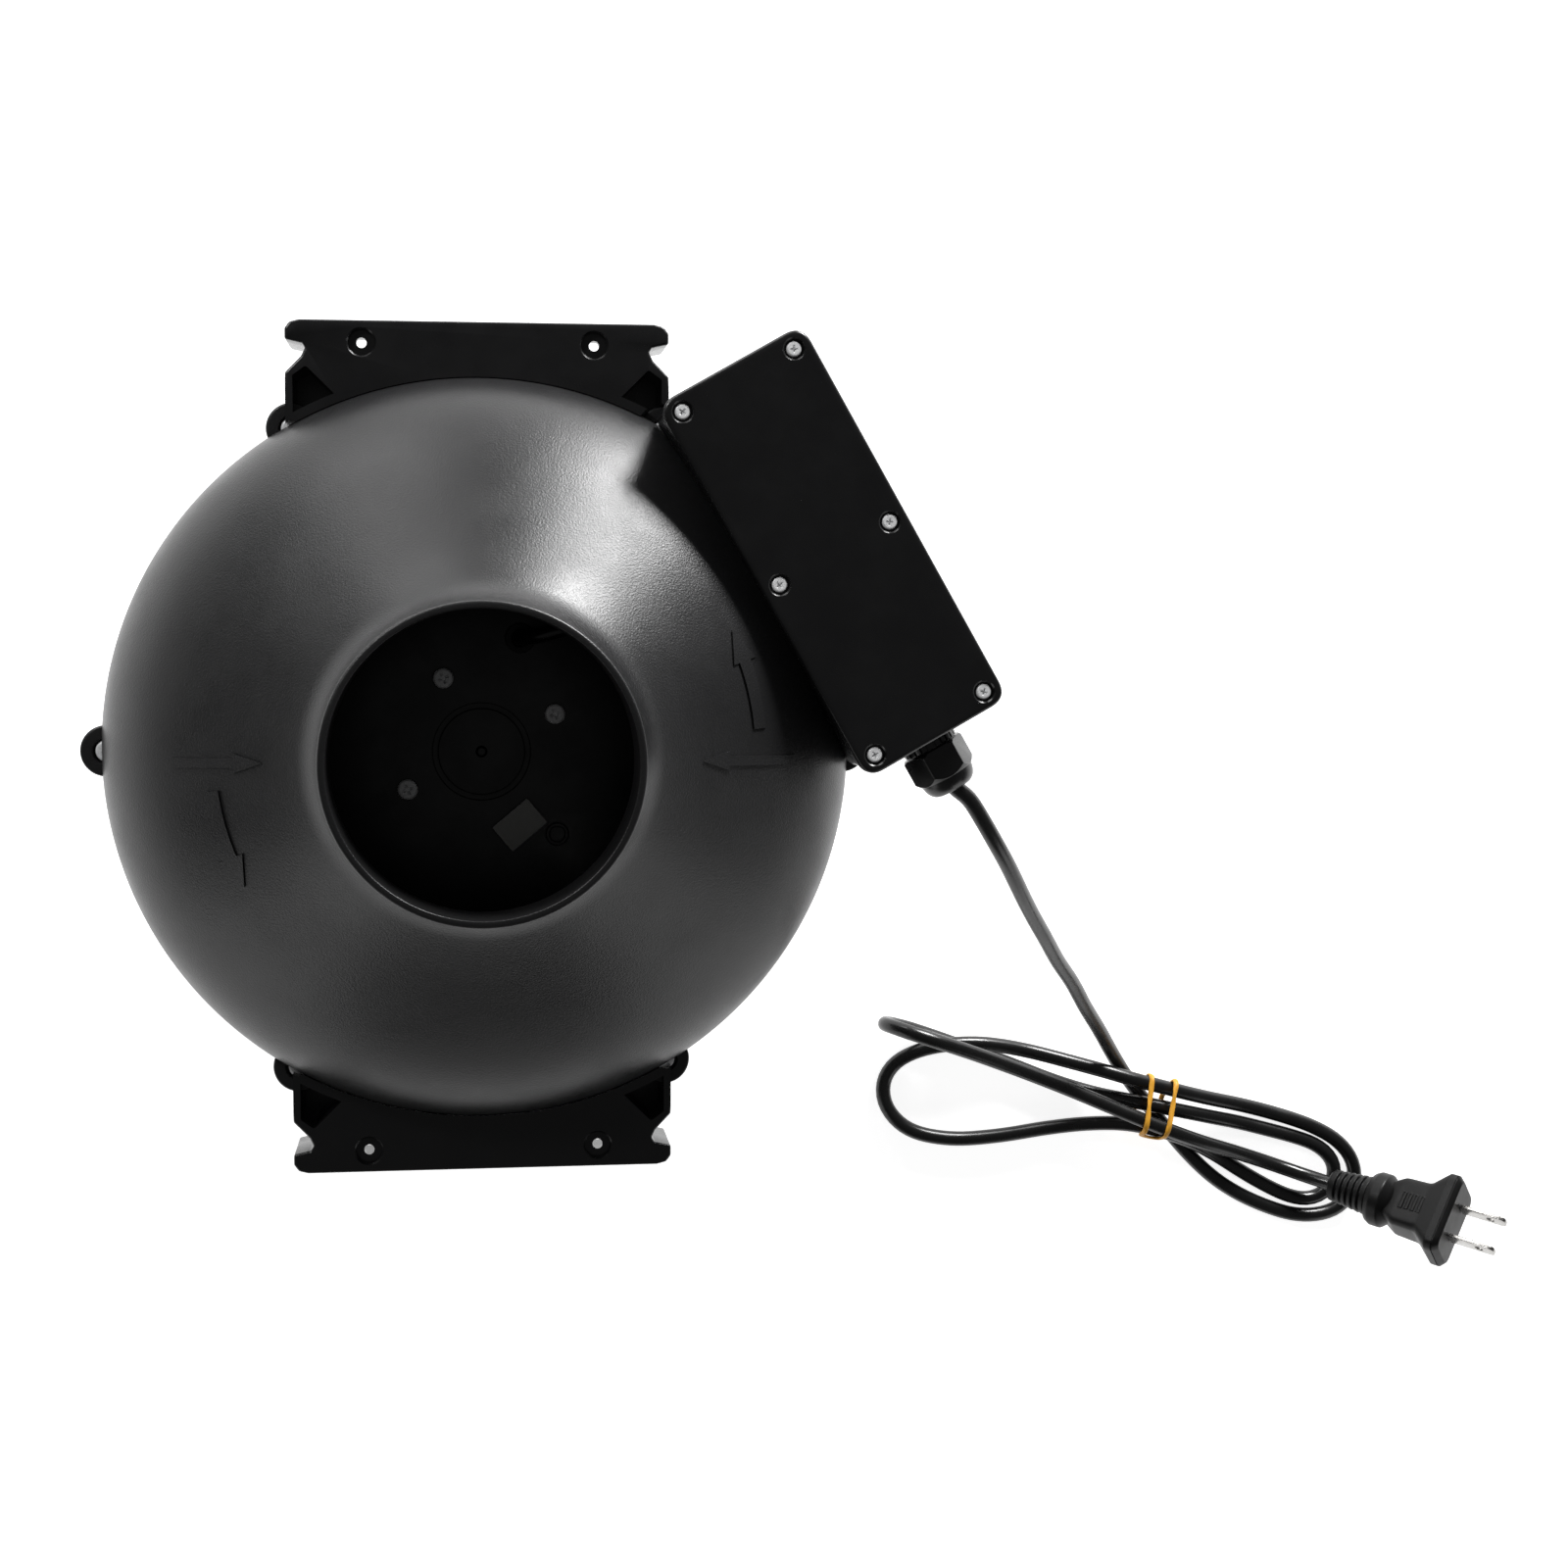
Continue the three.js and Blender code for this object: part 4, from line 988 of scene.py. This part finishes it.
def add_lead():
    """The motor's lead in its sleeve, and the bush where it leaves the drum."""
    lead = hose(smooth_path(LEAD, 1.5), 2.4)
    piece("lead_sleeve", lead, SHEATH, ["motor_lead"])
    ring = [(2.8, -4.6), (3.7, -4.6, 0.3), (3.7, GAP, 0.2), (5, GAP, 0.3), (5, 1.4, 0.6), (2.8, 1.4, 0.6)]
    bush = moved(lathe(rounded(ring), 64, loop=True), (*LEAD_HOLE, HUB_TOP))
    piece("lead_bush", bush, RUBBER, ["lead_grommet"])


def add_paper_seal():
    """A blank seal over one of the motor's screws."""
    label = bevelled(prism(rounded_rectangle(15, 10.4, 0.6), 0, 0.35), 0.1, 3, 60)
    label = moved(label, turn=Matrix.Rotation(radians(40), 4, "Z"))
    label = at_angle(label, MOTOR_SCREW_R, MOTOR_SCREW_ANGLES[3], HUB_TOP + 2.6)
    piece("paper_seal", label, PAPER, ["seal_sticker"])


def add_blade_wheel():
    """The impeller: a shroud round its eye, a back plate and the blades between them."""
    eye = [
        (50.5, 66), (47, 56, 0.6), (49, 56, 0.6), (52, 64, 6), (64, 70, 12), (IMPELLER_R, 78, 0.8),
        (IMPELLER_R, 80, 0.8), (64, 72, 12),
    ]
    body = lathe(rounded(eye, steps=6), 160, loop=True)
    back = [(46.3, 92, 0.4), (49, 92, 0.8), (49, 106), (IMPELLER_R, 106, 0.8), (IMPELLER_R, 108.4, 0.8)]
    back = rounded([*back, (46.3, 108.4, 0.4)])
    body = joined(body, lathe(back, 160, loop=True))
    span = lathe([(50, 63), (51.3, 65), (64, 71), (91.5, 79), (91.5, 107), (50, 107)], 128, loop=True)
    blades = [curved_plate(54, 91, 360 * k / BLADE_COUNT, -48, 2.2, 60, 107) for k in range(BLADE_COUNT)]
    body = joined(body, common(merged(*blades), span))
    piece("blade_wheel", body, WHEEL, ["impeller"], "rotor")


def add_motor_cup():
    cup = [(4.3, 79), (ROTOR_R, 79, 5), (ROTOR_R, 120, 0.5), (ROTOR_R - 4, 120, 0.5), (ROTOR_R - 4, 84, 3)]
    body = lathe(rounded([*cup, (4.3, 84)], steps=8), 160, loop=True)
    dimples = [at_angle(rod(3, 78, 80.2, 32, 0.4), 33, 30 + 60 * k) for k in range(6)]
    piece("motor_cup", cut(body, *dimples), STEEL, ["rotor_cup"], "rotor")


# ---------------------------------------------------------------- band and plug
def round_the_bundle(middle, along, across):
    """The band's way round the strands of the cord at that place, as (across, up), open at one end."""
    to_fan = TO_ROW.inverted()
    route = [to_fan @ Vector(p.co[:3]) - middle for p in cord.data.splines[0].points]
    clear = CORD_R + 0.6
    ring = [(clear * cos(t * pi / 24), clear * sin(t * pi / 24)) for t in range(48)]
    dots = []
    for a, b in zip(route, route[1:]):
        for shift in (-BAND_HALF_GAP, 0, BAND_HALF_GAP):
            u, v = a.dot(along) - shift, b.dot(along) - shift
            if u * v <= 0 and abs(a.dot(across)) < 30:
                p = a.lerp(b, u / (u - v))
                dots += [Vector((p.dot(across) + y, p.z + z)) for y, z in ring]
    # Their hull, turned clockwise and started at its far point in -across, a little upwards.
    hull = [dots[i] for i in convex_hull_2d(dots)]
    hull = [hull[-1], *hull]
    if sum(a.x * b.y - a.y * b.x for a, b in zip(hull, hull[1:])) > 0:
        hull.reverse()
    low = min(range(len(hull) - 1), key=lambda i: hull[i].x - 0.3 * hull[i].y)
    hull = [*hull[low:-1], *hull[: low + 1]]
    way = [hull[0]]
    for p in hull[1:]:
        start = way[-1]
        steps = max(1, int((p - start).length / 0.5))
        way += [start.lerp(p, (k + 1) / steps) for k in range(steps)]
    for _ in range(6):
        inner = [(a + 2 * b + c) / 4 for a, b, c in zip(way, way[1:], way[2:])]
        way = [way[0], *inner, way[-1]]
    return way[: int(len(way) * 0.93)]


def add_band():
    """An elastic band laid round the bundle: two strands joined by a bend at either end."""
    middle, turn = Vector(BAND_MIDDLE), radians(BAND_TURN)
    along = Vector((cos(turn), sin(turn), 0))
    across = Vector((-sin(turn), cos(turn), 0))
    way = round_the_bundle(middle, along, across)
    # Half the distance between the strands, which part in a quarter circle at either end.
    side = []
    for i, p in enumerate(way):
        bend = min(i / 9, (len(way) - 1 - i) / 9, 1)
        half = 4.2 * (1 - (1 - bend) ** 2) ** 0.5 + 0.9 * min(i, 60) / 60
        side.append((half, p))
    line = [middle + along * h + across * p.x + Vector((0, 0, p.y)) for h, p in side]
    line += [middle - along * h + across * p.x + Vector((0, 0, p.y)) for h, p in reversed(side)]
    centre = middle + Vector((0, 0, sum(p.z for p in line) / len(line)))
    rings = []
    for i, p in enumerate(line):
        tangent = (line[(i + 1) % len(line)] - line[i - 1]).normalized()
        out = p - centre - along * (p - centre).dot(along)
        out = (out - tangent * out.dot(tangent)).normalized()
        twist = 0.5 * sin(i * 0.16) + 0.25 * sin(i * 0.41)
        out = Matrix.Rotation(twist, 3, tangent) @ out
        wide = tangent.cross(out)
        rings.append([p + wide * (1.05 * cos(t * pi / 8)) + out * (0.6 * sin(t * pi / 8)) for t in range(16)])
    piece("elastic_band", skin(rings, loop=True), BAND, ["cord_band"])


def loft(stations):
    """A body along X through rounded rectangles given as (x, half width, half height)."""
    rings = []
    for x, a, b in stations:
        r = min(a, b) * 0.42
        outline = rounded([(a, b, r), (-a, b, r), (-a, -b, r), (a, -b, r)], steps=12)
        rings.append([(x, y, z) for y, z in outline])
    return skin(rings)


def add_plug_relief():
    """The ribbed, tapered sleeve where the cord leaves the plug."""
    profile = [(0, 0), (5.4, 0, 0), (6.2, 0.8, 0.6)]
    for k in range(5):
        x = 3.2 + 2.6 * k
        r = 6.2 + 1.8 * x / 17
        profile += [(r, x, 0.35), (r - 1.3, x + 0.25, 0.3), (r - 1.3, x + 0.95, 0.3), (r, x + 1.2, 0.35)]
    profile += [(7.9, 16.4, 0.4), (7.4, 17), (0, 17)]
    relief = moved(lathe(rounded(profile, False), 96), turn=Z_TO_X)
    relief.transform(PLUG_PLACE)
    piece("plug_relief", relief, PLUG, ["plug_strain_relief"])


def add_plug_head():
    """The grip, its collar and small windows, and a seam round the front plate."""
    collar = [(0, 17.3), (9.6, 17.3, 1), (10.8, 19.5, 1.5), (10.8, 23.5, 1.5), (8.2, 26.5, 1)]
    collar = moved(lathe(rounded([*collar, (7, 27.5), (0, 27.5)], False), 96), turn=Z_TO_X)
    # Half widths from above and from beside along the grip, with the radius at each corner.
    places = (25, 30, 40, 46.6, 49.9, PLUG_FACE_X, PLUG_FACE_X)
    radii = (0, 4, 4, 1.2, 0.6, 0.6, 0)
    above = rounded(list(zip(places, (7.3, 10.2, 10.6, 16.5, 16.5, 14.6, 10), radii)), False, 6)
    beside = rounded(list(zip(places, (6.4, 7.7, 8.3, 11, 11, 9.6, 6), radii)), False, 6)
    stations = [(p[0], p[1], q[1]) for p, q in zip(above, beside)][:-1]
    body = joined(collar, loft(stations))
    for k in range(4):
        x = 31 + 2.45 * k
        for sign in (-1, 1):
            window = bevelled(block(x, x + 1.8, -3.6, 3.6, 6, 8.35 + 0.09 * k), 0.18, 3, 60)
            window = cut(window, block(x + 0.5, x + 1.3, -3.1, 3.1, 8.0 + 0.07 * k, 12))
            body = joined(body, moved(window, turn=Matrix.Rotation(0 if sign > 0 else pi, 4, "X")))
    seam = cut(block(49.4, 49.9, -20, 20, -14, 14), loft([(49, 16.1, 10.6), (50.5, 16.1, 10.6)]))
    body = cut(body, seam)
    body.transform(PLUG_PLACE)
    piece("plug_head", body, PLUG, ["plug_body"])


def add_plug_pins():
    half = 3.15
    outline = [(0, half), (PIN_LENGTH, half, 2.6), (PIN_LENGTH, -half, 2.6), (0, -half)]
    outline = rounded(outline, steps=6)
    for i, sign in enumerate((-1, 1)):
        pin = bevelled(prism(outline, -0.75, 0.75), 0.22, 3, 60)
        pin = cut(pin, moved(rod(1.6, -2, 2, 40), (12, 0, 0)))
        pin = moved(pin, (PLUG_FACE_X + GAP, sign * PIN_SPACING / 2, 0), Matrix.Rotation(pi / 2, 4, "X"))
        pin.transform(PLUG_PLACE)
        piece(f"plug_pin_{i + 1}", pin, NICKEL, [f"plug_blade_{i + 1}"])


add_outlet_bowl()
add_inlet_bowl()
add_screws()
add_brackets()
add_box_base()
add_box_gasket()
add_box_cover()
add_gland_collar()
add_gland_cap()
add_carrier()
add_lead()
add_paper_seal()
add_blade_wheel()
add_motor_cup()
add_band()
add_plug_relief()
add_plug_head()
add_plug_pins()
